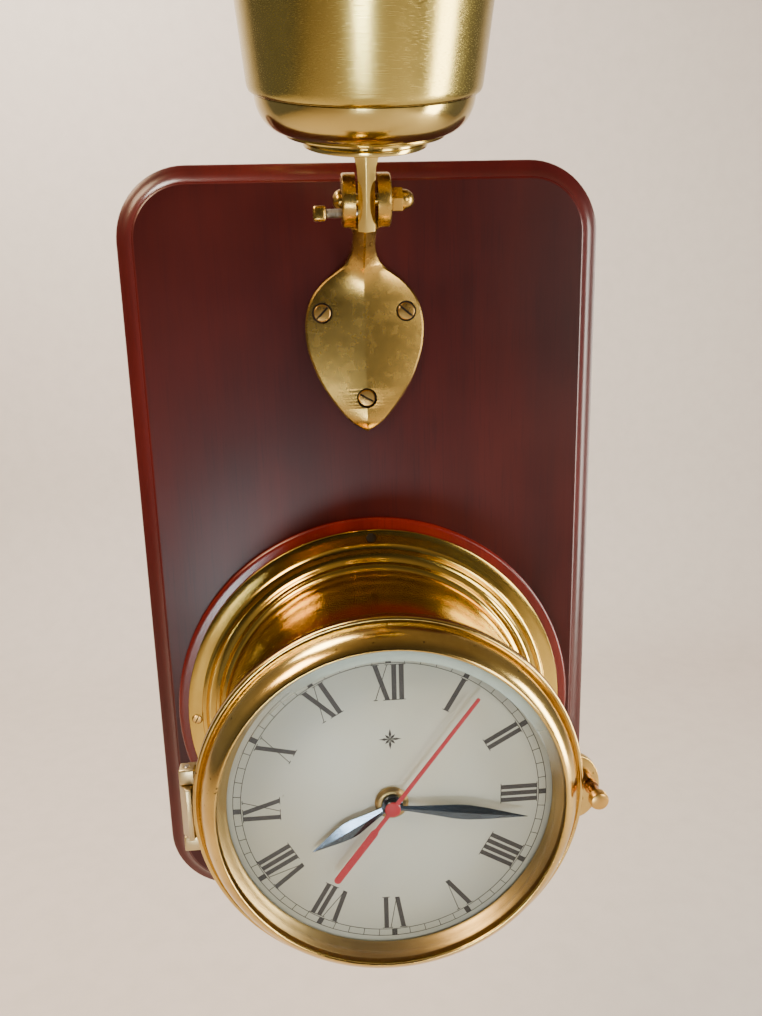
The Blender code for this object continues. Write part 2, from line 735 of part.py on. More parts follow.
def build_hinge(finish, pin_finish):
    """Two leaves and a pin at the left of the case."""
    half = HINGE_LENGTH / 2
    hinge_axis = axis_point(HINGE_X, 0, HINGE_H)
    leaf_edge = -math.sqrt((DRUM_R + GAP) ** 2 - (half - HINGE_CENTRE) ** 2) - 0.6 * MM
    outer = HINGE_X
    leaf = slab(
        (
            (outer, HINGE_CENTRE - half),
            (leaf_edge, HINGE_CENTRE - half),
            (-DRUM_R - GAP, HINGE_CENTRE - half / 2),
            (-DRUM_R - GAP, HINGE_CENTRE + half / 2),
            (leaf_edge, HINGE_CENTRE + half),
            (outer, HINGE_CENTRE + half),
        ),
        HINGE_H - HINGE_R,
        HINGE_H - HINGE_R + LEAF_THICK,
    )
    case_leaf = add("case_hinge_leaf", leaf, finish)
    room = disc(
        HINGE_R + SLIDE,
        HINGE_CENTRE - KNUCKLE_MID / 2 - GAP,
        HINGE_CENTRE + KNUCKLE_MID / 2 + GAP,
        FACE @ Matrix.Translation((HINGE_X, 0, HINGE_H)) @ RAISE,
        16,
    )
    bore = disc(
        HINGE_PIN_R + GAP / 2,
        HINGE_CENTRE - half - PIERCE,
        HINGE_CENTRE + half + PIERCE,
        FACE @ Matrix.Translation((HINGE_X, 0, HINGE_H)) @ RAISE,
        16,
    )
    low = knuckle(HINGE_CENTRE - half, HINGE_CENTRE - half + KNUCKLE_END)
    high = knuckle(HINGE_CENTRE + half - KNUCKLE_END, HINGE_CENTRE + half)
    boolean(case_leaf, "UNION", [cutter("join_knuckle_low", low), cutter("join_knuckle_high", high)])
    boolean(case_leaf, "DIFFERENCE", [cutter("cut_knuckle_room", room), cutter("cut_case_bore", bore)])
    strip = box(
        LEAF_THICK,
        KNUCKLE_MID,
        HINGE_H,
        BEZEL_BACK + BEZEL_SIDE - 0.6 * MM,
        (-BEZEL_R - GAP - LEAF_THICK / 2, HINGE_CENTRE),
    )
    middle = knuckle(HINGE_CENTRE - KNUCKLE_MID / 2, HINGE_CENTRE + KNUCKLE_MID / 2)
    bezel_leaf = add("bezel_hinge_leaf", middle, finish, hinge_axis)
    mid_bore = disc(
        HINGE_PIN_R + GAP / 2,
        HINGE_CENTRE - half - PIERCE,
        HINGE_CENTRE + half + PIERCE,
        FACE @ Matrix.Translation((HINGE_X, 0, HINGE_H)) @ RAISE,
        16,
    )
    boolean(bezel_leaf, "UNION", [cutter("join_strip", strip)])
    boolean(bezel_leaf, "DIFFERENCE", [cutter("cut_leaf_bore", mid_bore)])
    pin_place = FACE @ Matrix.Translation((HINGE_X, 0, HINGE_H)) @ RAISE
    pin = disc(HINGE_PIN_R, HINGE_CENTRE - half - 0.4 * MM, HINGE_CENTRE + half + 0.4 * MM, pin_place, 12)
    add("hinge_pin", pin, pin_finish)


def build_latch(finish):
    """The lug on the drum and the thumb screw that draws the bezel's ear on to it."""
    top = BEZEL_BACK - GAP
    inner = DRUM_R + GAP
    lug_end = BEZEL_R + EAR_REACH - 1.2 * MM
    tip = arc((lug_end - LUG_HALF, 0), LUG_HALF, -90, 90, 10)
    drum_side = [polar(inner, angle) for angle in (5.2, 2.6, 0.0, -2.6, -5.2)]
    lug = add("case_latch_lug", slab([*tip, *drum_side], top - LUG_DEPTH, top), finish)
    hole = disc(THUMB_SHANK_R + LATCH_PLAY, top - LUG_DEPTH - PIERCE, top + PIERCE, at(LATCH_X, 0), 16)
    boolean(lug, "DIFFERENCE", [cutter("cut_lug", hole)])
    ear_top = BEZEL_BACK + BEZEL_SIDE - 0.4 * MM
    head = ear_top + GAP + THUMB_NECK
    profile = (
        (0, top - THUMB_REACH),
        (THUMB_SHANK_R * 0.6, top - THUMB_REACH),
        (THUMB_SHANK_R, top - THUMB_REACH + 0.8 * MM),
        (THUMB_SHANK_R, ear_top + GAP),
        (THUMB_NECK_R, ear_top + GAP),
        (THUMB_NECK_R, head),
        (THUMB_HEAD_R, head + 0.3 * MM),
        (THUMB_HEAD_R, head + THUMB_HEAD - 0.5 * MM),
        (THUMB_HEAD_R - 0.5 * MM, head + THUMB_HEAD),
        (0, head + THUMB_HEAD),
    )
    add("thumb_screw", turned(profile, at(LATCH_X, 0), 20), finish, axis_point(LATCH_X, 0, ear_top))


def hand_place(angle):
    """A frame whose +y runs along a hand at this clock angle."""
    return FACE @ Matrix.Rotation(math.radians(-angle), 4, "Z")


def leaf_hand(name, angle, length, widest, height, bore, boss_r, boss_rise, finish):
    """A leaf-shaped hand with a round boss on its tube."""
    half = []
    for along, wide in ((0.03, 0.4), (0.2, 0.52), (0.42, 0.95), (0.55, 1.0), (0.75, 0.62), (0.97, 0.09)):
        half.append((widest / 2 * wide, length * along))
    outline = [(-x, y) for x, y in half] + [(0, length)] + [(x, y) for x, y in reversed(half)]
    place = hand_place(angle)
    blade = slab(outline, height, height + HAND_THICK, place)
    boss = add(name, tube(bore, boss_r, height - GAP, height + boss_rise, place, 24), finish, axis_point(0, 0, height))
    boolean(boss, "UNION", [cutter(f"join_{name}", blade)])
    clear = disc(bore, height - PIERCE, height + boss_rise + PIERCE, place, 24)
    boolean(boss, "DIFFERENCE", [cutter(f"cut_{name}", clear)])


def build_hands(dark_finish, red_finish, nut_finish):
    """The three hands and the nut that holds the dial to the movement."""
    add("dial_nut", tube(BUSH[1] + GAP, NUT_R, DIAL_H + GAP, NUT_TOP, FACE, 24), nut_finish)
    leaf_hand(
        "hour_hand", HOUR_ANGLE, HOUR_LENGTH, 6.4 * MM, HOUR_HAND_H, HOUR_TUBE[1] + GAP, 4.4 * MM, 1.0 * MM, dark_finish
    )
    leaf_hand(
        "minute_hand",
        MINUTE_ANGLE,
        MINUTE_LENGTH,
        5.2 * MM,
        MINUTE_HAND_H,
        MINUTE_TUBE[1] + GAP,
        3.1 * MM,
        0.9 * MM,
        dark_finish,
    )
    place = hand_place(SECOND_ANGLE)
    low, high = SECOND_HAND_H, SECOND_HAND_H + HAND_THICK
    boss = turned(
        (
            (ARBOR_R + GAP, low - 0.2 * MM),
            (3.1 * MM, low - 0.2 * MM),
            (3.1 * MM, high + 0.1 * MM),
            (2.6 * MM, high + 0.4 * MM),
            (0, high + 0.4 * MM),
            (0, high),
            (ARBOR_R + GAP, high),
        ),
        place,
        24,
    )
    second = add("second_hand", boss, red_finish, axis_point(0, 0, low))
    side = [(SECOND_HALF, SECOND_LENGTH), (SECOND_HALF, -TAIL_START), (TAIL_HALF, -TAIL_START - TAIL_HALF)]
    end = arc((0, TAIL_HALF - SECOND_TAIL), TAIL_HALF, 0, -180, 6)
    blade = slab([*side, *end, *((-x, y) for x, y in reversed(side))], low, high, place)
    room = disc(ARBOR_R + GAP, low - PIERCE, high, place, 24)
    boolean(second, "UNION", [cutter("join_second", blade)])
    boolean(second, "DIFFERENCE", [cutter("cut_second", room)])


def wheel_outline(teeth, module):
    """A fine-toothed wheel: one tip and one root point for each tooth."""
    pitch_r = teeth * module / 2
    points = []
    for tooth in range(teeth):
        points.append(polar(pitch_r + 0.8 * module, 360 * tooth / teeth))
        points.append(polar(pitch_r - 1.1 * module, 360 * (tooth + 0.5) / teeth))
    return points


def pinion_outline(teeth, module, phase):
    """A small gear with blunt teeth, its first tooth turned by phase degrees."""
    pitch_r = teeth * module / 2
    points = []
    for tooth in range(teeth):
        for offset, reach in ((-0.2, -1.05), (-0.1, 0.7), (0.1, 0.7), (0.2, -1.05)):
            points.append(polar(pitch_r + reach * module, phase + 360 * (tooth + offset) / teeth))
    return points


def mesh_phase(teeth, direction, leader_teeth, leader_phase=0.0):
    """Phase of a gear whose tooth meets a gap of its leader in this direction."""
    leader_at = ((direction - leader_phase) / 360 * leader_teeth) % 1.0
    own_back = direction + 180
    return own_back + (leader_at - 0.5) * 360 / teeth


def arbor_wheel(name, x, y, parts, finish, bore=0.0):
    """A wheel, its pinion and its arbor in one piece. parts are (bmesh) bodies that overlap."""
    body, *rest = parts
    made = add(name, body, finish, axis_point(x, y))
    boolean(made, "UNION", [cutter(f"join_{name}_{number}", item) for number, item in enumerate(rest)])
    if bore:
        hole = disc(bore, HOUSING_BACK, SECOND_HAND_H + 5 * MM, at(x, y), 16)
        boolean(made, "DIFFERENCE", [cutter(f"bore_{name}", hole)])


def spun(outline, x, y, turn=0.0):
    """The outline turned by some degrees and moved to (x, y)."""
    cosine, sine = math.cos(math.radians(turn)), math.sin(math.radians(turn))
    return [(x + cosine * px - sine * py, y + sine * px + cosine * py) for px, py in outline]


def build_motion_work(finish):
    """Minute tube, motion-work wheel, hour wheel and the setting knob behind them."""
    motion_distance = (CANNON_TEETH + MOTION_TEETH) * MOTION_MODULE / 2
    hour_module = 2 * motion_distance / (MOTION_PINION_TEETH + HOUR_TEETH)
    motion_x, motion_y = polar(motion_distance, MOTION_DIRECTION)
    level, high = MOTION_WHEEL_H, HOUR_WHEEL_H
    top = level + WHEEL_THICK
    minute_top = MINUTE_HAND_H + 0.7 * MM
    cannon_low = CENTRE_WHEEL_H - 0.6 * MM
    arbor_wheel(
        "minute_tube",
        0,
        0,
        (
            disc(MINUTE_TUBE[1], cannon_low, minute_top, FACE, 16),
            slab(pinion_outline(CANNON_TEETH, MOTION_MODULE, 0), level - WHEEL_WEB_GAP, top + WHEEL_WEB_GAP),
        ),
        finish,
        MINUTE_TUBE[0],
    )
    motion_phase = mesh_phase(MOTION_TEETH, MOTION_DIRECTION, CANNON_TEETH)
    motion = spun(wheel_outline(MOTION_TEETH, MOTION_MODULE), motion_x, motion_y, motion_phase)
    small = spun(pinion_outline(MOTION_PINION_TEETH, hour_module, 0), motion_x, motion_y)
    arbor_wheel(
        "motion_wheel",
        motion_x,
        motion_y,
        (
            slab(motion, level, top),
            slab(small, level + WHEEL_THICK / 2, high + WHEEL_THICK + WHEEL_WEB_GAP),
            disc(0.7 * MM, level - 1.2 * MM, INSIDE_FRONT - GAP, at(motion_x, motion_y), 12),
        ),
        finish,
    )
    hour_phase = mesh_phase(HOUR_TEETH, MOTION_DIRECTION + 180, MOTION_PINION_TEETH)
    arbor_wheel(
        "hour_wheel",
        0,
        0,
        (
            slab(spun(wheel_outline(HOUR_TEETH, hour_module), 0, 0, hour_phase), high, high + WHEEL_THICK),
            disc(HOUR_TUBE[1], high, HOUR_HAND_H + 0.8 * MM, FACE, 16),
        ),
        finish,
        HOUR_TUBE[0],
    )
    knob_distance = (MOTION_TEETH + KNOB_TEETH) * MOTION_MODULE / 2
    offset_x, offset_y = polar(knob_distance, KNOB_DIRECTION)
    x, y = motion_x + offset_x, motion_y + offset_y
    phase = mesh_phase(KNOB_TEETH, KNOB_DIRECTION, MOTION_TEETH, motion_phase)
    outline = spun(pinion_outline(KNOB_TEETH, MOTION_MODULE, phase), x, y)
    back = HOUSING_BACK - MOVEMENT_WALL - GAP
    arbor_wheel(
        "setting_knob",
        x,
        y,
        (
            slab(outline, level, top),
            disc(1.2 * MM, back - 1 * MM, level + WHEEL_THICK / 2, at(x, y), 12),
            slab(spun(pinion_outline(24, 2 * KNOB_R / 25, 0), x, y), back - GAP - KNOB_THICK, back - GAP),
        ),
        finish,
    )
    return x, y


def build_train(finish, magnet_finish):
    """Centre wheel, third wheel, seconds wheel, step wheel and rotor."""
    distance = (SMALL_PINION_TEETH + CENTRE_TEETH) * TRAIN_MODULE / 2
    third_module = 2 * distance / (SMALL_PINION_TEETH + THIRD_TEETH)
    third_x, third_y = polar(distance, THIRD_DIRECTION)
    level = CENTRE_WHEEL_H
    wheel = slab(wheel_outline(CENTRE_TEETH, TRAIN_MODULE), level, level + WHEEL_THICK)
    arbor_wheel("centre_wheel", 0, 0, (wheel,), finish, MINUTE_TUBE[1] + GAP)
    pinion_phase = mesh_phase(SMALL_PINION_TEETH, THIRD_DIRECTION, CENTRE_TEETH)
    third_phase = mesh_phase(THIRD_TEETH, THIRD_DIRECTION, SMALL_PINION_TEETH)
    third = spun(wheel_outline(THIRD_TEETH, third_module), third_x, third_y, third_phase)
    pinion = spun(pinion_outline(SMALL_PINION_TEETH, TRAIN_MODULE, pinion_phase), third_x, third_y)
    low = THIRD_WHEEL_H
    arbor_wheel(
        "third_wheel",
        third_x,
        third_y,
        (
            slab(third, low, low + WHEEL_THICK),
            slab(pinion, low + WHEEL_THICK / 2, level + WHEEL_THICK + WHEEL_WEB_GAP),
            disc(ARBOR_R, low - 4 * MM, level + 4 * MM, at(third_x, third_y), 8),
        ),
        finish,
    )
    level = SECONDS_WHEEL_H
    arbor_wheel(
        "seconds_wheel",
        0,
        0,
        (
            slab(wheel_outline(SECONDS_TEETH, TRAIN_MODULE), level, level + WHEEL_THICK),
            slab(
                pinion_outline(SMALL_PINION_TEETH, third_module, 0),
                level + WHEEL_THICK / 2,
                low + WHEEL_THICK + WHEEL_WEB_GAP,
            ),
            disc(ARBOR_R, level - 1.5 * MM, SECOND_HAND_H + 0.2 * MM, FACE, 8),
        ),
        finish,
    )
    step_distance = (STEP_PINION_TEETH + SECONDS_TEETH) * TRAIN_MODULE / 2
    step_x, step_y = polar(step_distance, STEP_DIRECTION)
    step_phase = mesh_phase(STEP_PINION_TEETH, STEP_DIRECTION, SECONDS_TEETH)
    low = STEP_WHEEL_H
    arbor_wheel(
        "step_wheel",
        step_x,
        step_y,
        (
            slab(spun(wheel_outline(STEP_TEETH, TRAIN_MODULE), step_x, step_y), low, low + WHEEL_THICK),
            slab(
                spun(pinion_outline(STEP_PINION_TEETH, TRAIN_MODULE, step_phase), step_x, step_y),
                low + WHEEL_THICK / 2,
                level + WHEEL_THICK + WHEEL_WEB_GAP,
            ),
            disc(ARBOR_R, low - 1 * MM, level + 4 * MM, at(step_x, step_y), 8),
        ),
        finish,
    )
    rotor_distance = (SMALL_PINION_TEETH + STEP_TEETH) * TRAIN_MODULE / 2
    offset_x, offset_y = polar(rotor_distance, ROTOR_DIRECTION)
    x, y = step_x + offset_x, step_y + offset_y
    phase = mesh_phase(SMALL_PINION_TEETH, ROTOR_DIRECTION, STEP_TEETH)
    arbor_wheel(
        "rotor",
        x,
        y,
        (
            disc(ROTOR_R, STATOR_H - 0.5 * MM, STATOR_H + 1.1 * MM, at(x, y), 16),
            slab(
                spun(pinion_outline(SMALL_PINION_TEETH, TRAIN_MODULE, phase), x, y),
                STATOR_H + 1.0 * MM,
                low + WHEEL_THICK + WHEEL_WEB_GAP,
            ),
            disc(ARBOR_R * 0.8, STATOR_H - 0.9 * MM, low + 3 * MM, at(x, y), 8),
        ),
        magnet_finish,
    )
    return x, y


def build_movement(plastic, cell_finish, steel, board_finish, copper, brass_finish, dark):
    """The quartz movement: its housing and cover, cell, contacts, electronics, motor and wheels."""
    knob_x, knob_y = build_motion_work(plastic)
    rotor_x, rotor_y = build_train(plastic, dark)
    half = MOVEMENT_SIZE / 2
    housing = add(
        "movement_housing",
        slab(rounded_outline(-half, half, -half, half, 3 * MM, 3), HOUSING_BACK, HOUSING_FRONT),
        plastic,
    )
    bush = disc(BUSH[1], HOUSING_FRONT - MOVEMENT_WALL, BUSH_TOP, FACE, 24)
    inner = half - MOVEMENT_WALL
    hollow = slab(rounded_outline(-inner, inner, -inner, inner, 2 * MM, 3), HOUSING_BACK - PIERCE, INSIDE_FRONT)
    bore = disc(BUSH[0], INSIDE_FRONT - PIERCE, BUSH_TOP + PIERCE, FACE, 24)
    boolean(housing, "UNION", [cutter("join_bush", bush)])
    boolean(housing, "DIFFERENCE", [cutter("cut_hollow", hollow), cutter("cut_bush_bore", bore)])
    cover_low = HOUSING_BACK - GAP - MOVEMENT_WALL
    cover = add(
        "movement_cover",
        slab(rounded_outline(-half, half, -half, half, 3 * MM, 3), cover_low, HOUSING_BACK - GAP),
        plastic,
    )
    knob_hole = disc(1.2 * MM + SLIDE, cover_low - PIERCE, HOUSING_BACK, at(knob_x, knob_y), 12)
    boolean(cover, "DIFFERENCE", [cutter("cut_knob_hole", knob_hole)])
    cell_y = -inner + GAP + CELL_R + 0.4 * MM
    cell_h = HOUSING_BACK + GAP + CELL_R
    cell_place = FACE @ Matrix.Translation((0, cell_y, cell_h)) @ ACROSS
    body = CELL_LENGTH / 2
    cell = (
        (0, -body),
        (CELL_R, -body),
        (CELL_R, body - CELL_NUB),
        (CELL_NUB_R, body - CELL_NUB),
        (CELL_NUB_R, body),
        (0, body),
    )
    add("battery_cell", turned(cell, cell_place, 20), cell_finish)
    for name, side in (("negative", -1), ("positive", 1)):
        contact_x = side * (body + GAP + CONTACT_THICK / 2)
        plate = box(CONTACT_THICK, 9 * MM, cell_h - 4.5 * MM, cell_h + 4.5 * MM, (contact_x, cell_y))
        add(f"battery_contact_{name}", plate, steel)
    build_motor(rotor_x, rotor_y, steel, copper)
    board_low = HOUSING_BACK + 0.4 * MM
    board_x, board_y = 17 * MM, -1.5 * MM
    add(
        "circuit_board",
        box(16 * MM, 15 * MM, board_low, board_low + 0.8 * MM, (board_x, board_y)),
        board_finish,
    )
    crystal_place = FACE @ Matrix.Translation((board_x, board_y + 4 * MM, board_low + 2.2 * MM)) @ ACROSS
    add("quartz_crystal", disc(1.0 * MM, -3 * MM, 3 * MM, crystal_place, 12), brass_finish)


def build_motor(rotor_x, rotor_y, steel, copper):
    """The stepper's stator plate with its hole for the rotor, and the coil on its core."""
    left, right = rotor_x - 14 * MM, rotor_x + 12 * MM
    low, high = rotor_y - 4 * MM, rotor_y + 4 * MM
    leg = 4 * MM
    leg_top = high + 6 * MM
    outline = (
        (left, low),
        (right, low),
        (right, leg_top),
        (right - leg, leg_top),
        (right - leg, high),
        (left + leg, high),
        (left + leg, leg_top),
        (left, leg_top),
    )
    stator = add("stator", slab(outline, STATOR_H, STATOR_H + 0.6 * MM), steel)
    hole = disc(ROTOR_R + SLIDE, STATOR_H - PIERCE, STATOR_H + 2 * MM, at(rotor_x, rotor_y), 16)
    boolean(stator, "DIFFERENCE", [cutter("cut_stator", hole)])
    centre = (left + right) / 2
    reach = (right - left) / 2
    coil_r = 2.6 * MM
    coil_h = STATOR_H + 0.6 * MM + GAP + coil_r
    coil_place = FACE @ Matrix.Translation((centre, leg_top - coil_r, coil_h)) @ ACROSS
    coil = (
        (0, -reach),
        (1.2 * MM, -reach),
        (1.2 * MM, leg - reach),
        (coil_r, leg - reach),
        (coil_r, reach - leg),
        (1.2 * MM, reach - leg),
        (1.2 * MM, reach),
        (0, reach),
    )
    add("coil", turned(coil, coil_place, 16), copper)


def leaf_section(half, y, base, edge, ridge):
    """A five-cornered section of the bracket's leaf: flat back, thin edges and a central ridge."""
    return [(-half, y, base), (half, y, base), (half, y, base + edge), (0, y, base + ridge), (-half, y, base + edge)]


def neck_section(y, height, lean, half):
    """A section of the neck at right angles to its path, which leans out by some degrees."""
    across = Vector((0, -math.sin(math.radians(lean)), math.cos(math.radians(lean))))
    centre = Vector((0, y, height))
    depth = NECK_DEPTH / 2
    points = []
    for x, out in ((-half, -depth), (half, -depth), (half, depth * 0.4), (0, depth), (-half, depth * 0.4)):
        points.append(tuple(centre + Vector((x, 0, 0)) + across * out))
    return points


def build_bracket(finish):
    """The leaf-shaped wall plate, its neck and the fork that holds the lamp's arm."""
    base = GAP
    sections = [leaf_section(half, LEAF_TIP + up, base, LEAF_EDGE, LEAF_RIDGE) for up, half in LEAF_OUTLINE]
    bracket = add("lamp_bracket", loft(sections), finish)
    half = NECK_WIDTH / 2
    outer = ARM_WIDTH / 2 + ARM_PLAY + CHEEK_THICK
    path = (
        (LEAF_TOP - 13 * MM, base + 3.6 * MM, 0, half * 0.6),
        (LEAF_TOP - 4 * MM, base + 4.4 * MM, 16, half),
        (LEAF_TOP + 3 * MM, base + 8.2 * MM, 34, half),
        (LEAF_TOP + 8 * MM, base + 13 * MM, 48, half),
        (LEAF_TOP + 13 * MM, base + 20.5 * MM, 55, outer * 0.86),
    )
    neck = loft([neck_section(*station) for station in path])
    cheek_place = PIVOT @ ACROSS
    # the fork's side view, in the pivot's frame turned so that local x points into the wall
    side = [*arc((0, 0), CHEEK_R, 35, 235, 10), (FORK_THROAT * 0.45, -FORK_THROAT), (FORK_THROAT, -FORK_THROAT * 0.5)]
    fork = slab(side, -outer, outer, cheek_place)
    boolean(bracket, "UNION", [cutter("join_neck", neck), cutter("join_fork", fork)])
    gap_half = ARM_WIDTH / 2 + ARM_PLAY
    sweep = math.hypot(ARM_TAIL, ARM_HALF_DEPTH) + SLIDE
    slot = disc(sweep, -gap_half, gap_half, cheek_place, 32)
    pivot_hole = disc(PIVOT_R + GAP, -outer - PIERCE, outer + PIERCE, cheek_place, 20)
    clamp_place = PIVOT @ Matrix.Translation((0, -CLAMP_DOWN, CLAMP_FORWARD)) @ ACROSS
    clamp_hole = disc(CLAMP_R + GAP, -outer - PIERCE, -gap_half + PIERCE, clamp_place, 16)
    cuts = [cutter("cut_fork_slot", slot), cutter("cut_fork_pivot", pivot_hole), cutter("cut_clamp_hole", clamp_hole)]
    for side_name, x, y in BRACKET_SCREWS:
        hole = turned(
            (
                (0, -PIERCE),
                (WOOD_SCREW_R + GAP, -PIERCE),
                (WOOD_SCREW_R + GAP, BRACKET_SINK_H),
                (BRACKET_SINK_R, BRACKET_SINK_H),
                (BRACKET_SINK_R, LEAF_RIDGE + 4 * MM),
                (0, LEAF_RIDGE + 4 * MM),
            ),
            at(x, y),
            20,
        )
        cuts.append(cutter(f"cut_bracket_{side_name}", hole))
    boolean(bracket, "DIFFERENCE", cuts)


def build_bracket_fastenings(finish):
    """The bracket's three screws, the pivot bolt with its domed nut, and the clamp screw."""
    for side, x, y in BRACKET_SCREWS:
        low = BRACKET_SINK_H + GAP
        board_screw(
            f"bracket_screw_{side}", x, y, BRACKET_HEAD_R, low, low + 2.2 * MM, WOOD_SCREW_R, WOOD_SCREW_LENGTH, finish
        )
    outer = ARM_WIDTH / 2 + ARM_PLAY + CHEEK_THICK
    place = PIVOT @ ACROSS
    head = -outer - GAP
    bolt = (
        (0, head - BOLT_HEAD),
        (BOLT_HEAD_R * 0.55, head - BOLT_HEAD * 0.85),
        (BOLT_HEAD_R * 0.9, head - BOLT_HEAD * 0.5),
        (BOLT_HEAD_R, head),
        (PIVOT_R, head),
        (PIVOT_R, outer + NUT_HEX + 1 * MM),
        (0, outer + NUT_HEX + 1 * MM),
    )
    add("pivot_bolt", turned(bolt, place, 20), finish)
    nut_low = outer + GAP
    hexagon = arc((0, 0), NUT_ACROSS / 2 / math.cos(math.radians(30)), 0, 300, 5)
    nut = add("pivot_nut", slab(hexagon, nut_low, nut_low + NUT_HEX, place), finish)
    dome = [(0, nut_low + 1 * MM)]
    dome += [
        (NUT_DOME_R * math.cos(math.radians(angle)), nut_low + NUT_HEX + NUT_DOME * math.sin(math.radians(angle)))
        for angle in (0, 20, 40, 60, 78)
    ]
    dome += [(0, nut_low + NUT_HEX + NUT_DOME)]
    dome.insert(1, (NUT_DOME_R, nut_low + 1 * MM))
    boolean(nut, "UNION", [cutter("join_dome", turned(dome, place, 20))])
    bore = disc(PIVOT_R + GAP, nut_low - PIERCE, outer + NUT_HEX + 1.6 * MM, place, 20)
    boolean(nut, "DIFFERENCE", [cutter("cut_nut", bore)])
    clamp_place = PIVOT @ Matrix.Translation((0, -CLAMP_DOWN, CLAMP_FORWARD)) @ ACROSS
    head_high = -outer - CLAMP_STANDOFF
    shank = disc(CLAMP_R, head_high - 1 * MM, -ARM_WIDTH / 2 - GAP, clamp_place, 16)
    clamp = add("clamp_screw", shank, finish, clamp_place @ Vector((0, 0, 0)))
    hexagon = arc((0, 0), CLAMP_ACROSS / 2 / math.cos(math.radians(30)), 0, 300, 5)
    boolean(
        clamp, "UNION", [cutter("join_clamp_head", slab(hexagon, head_high - CLAMP_HEAD, head_high, clamp_place))]
    )


def build_lamp_arm(finish):
    """The blade under the lamp, which the fork clamps."""
    half = ARM_WIDTH / 2
    sections = []
    for height, wide, deep in (
        (-ARM_TAIL, half, ARM_HALF_DEPTH),
        (CHEEK_R * 0.6, half, ARM_HALF_DEPTH),
        (ARM_TOP - 3 * MM, half * 1.15, ARM_HALF_DEPTH),
        (ARM_TOP, ARM_TOP_WIDTH / 2, ARM_HALF_DEPTH),
    ):
        sections.append(
            [
                (-wide, -deep * 0.8, height),
                (0, -deep, height),
                (wide, -deep * 0.8, height),
                (wide, deep, height),
                (-wide, deep, height),
            ]
        )
    arm = add("lamp_arm", loft(sections, LAMP), finish, PIVOT @ Vector((0, 0, 0)))
    hole = disc(PIVOT_R + GAP, -ARM_TOP_WIDTH, ARM_TOP_WIDTH, PIVOT @ ACROSS, 20)
    boolean(arm, "DIFFERENCE", [cutter("cut_arm_pivot", hole)])


def base_profile():
    """Outer points of the lamp's bowl-shaped base, from its foot up."""
    low = BASE_BACK
    brim = low + FOOT_THICK
    top = low + BASE_HEIGHT
    points = [(0, low), (FOOT_R, low), (FOOT_R, brim), (BRIM_R - 0.6 * MM, brim + 0.2 * MM)]
    points += [(BRIM_R, brim + 0.8 * MM), (BRIM_R - 0.4 * MM, brim + 1.5 * MM)]
    start = Vector((BRIM_R - 0.4 * MM, brim + 1.5 * MM))
    for step in range(1, 6):
        angle = math.radians(90 * step / 5)
        reach = BASE_TOP_R - start.x
        rise = top - start.y
        points.append((start.x + reach * math.sin(angle), start.y + rise * (1 - math.cos(angle))))
    return points


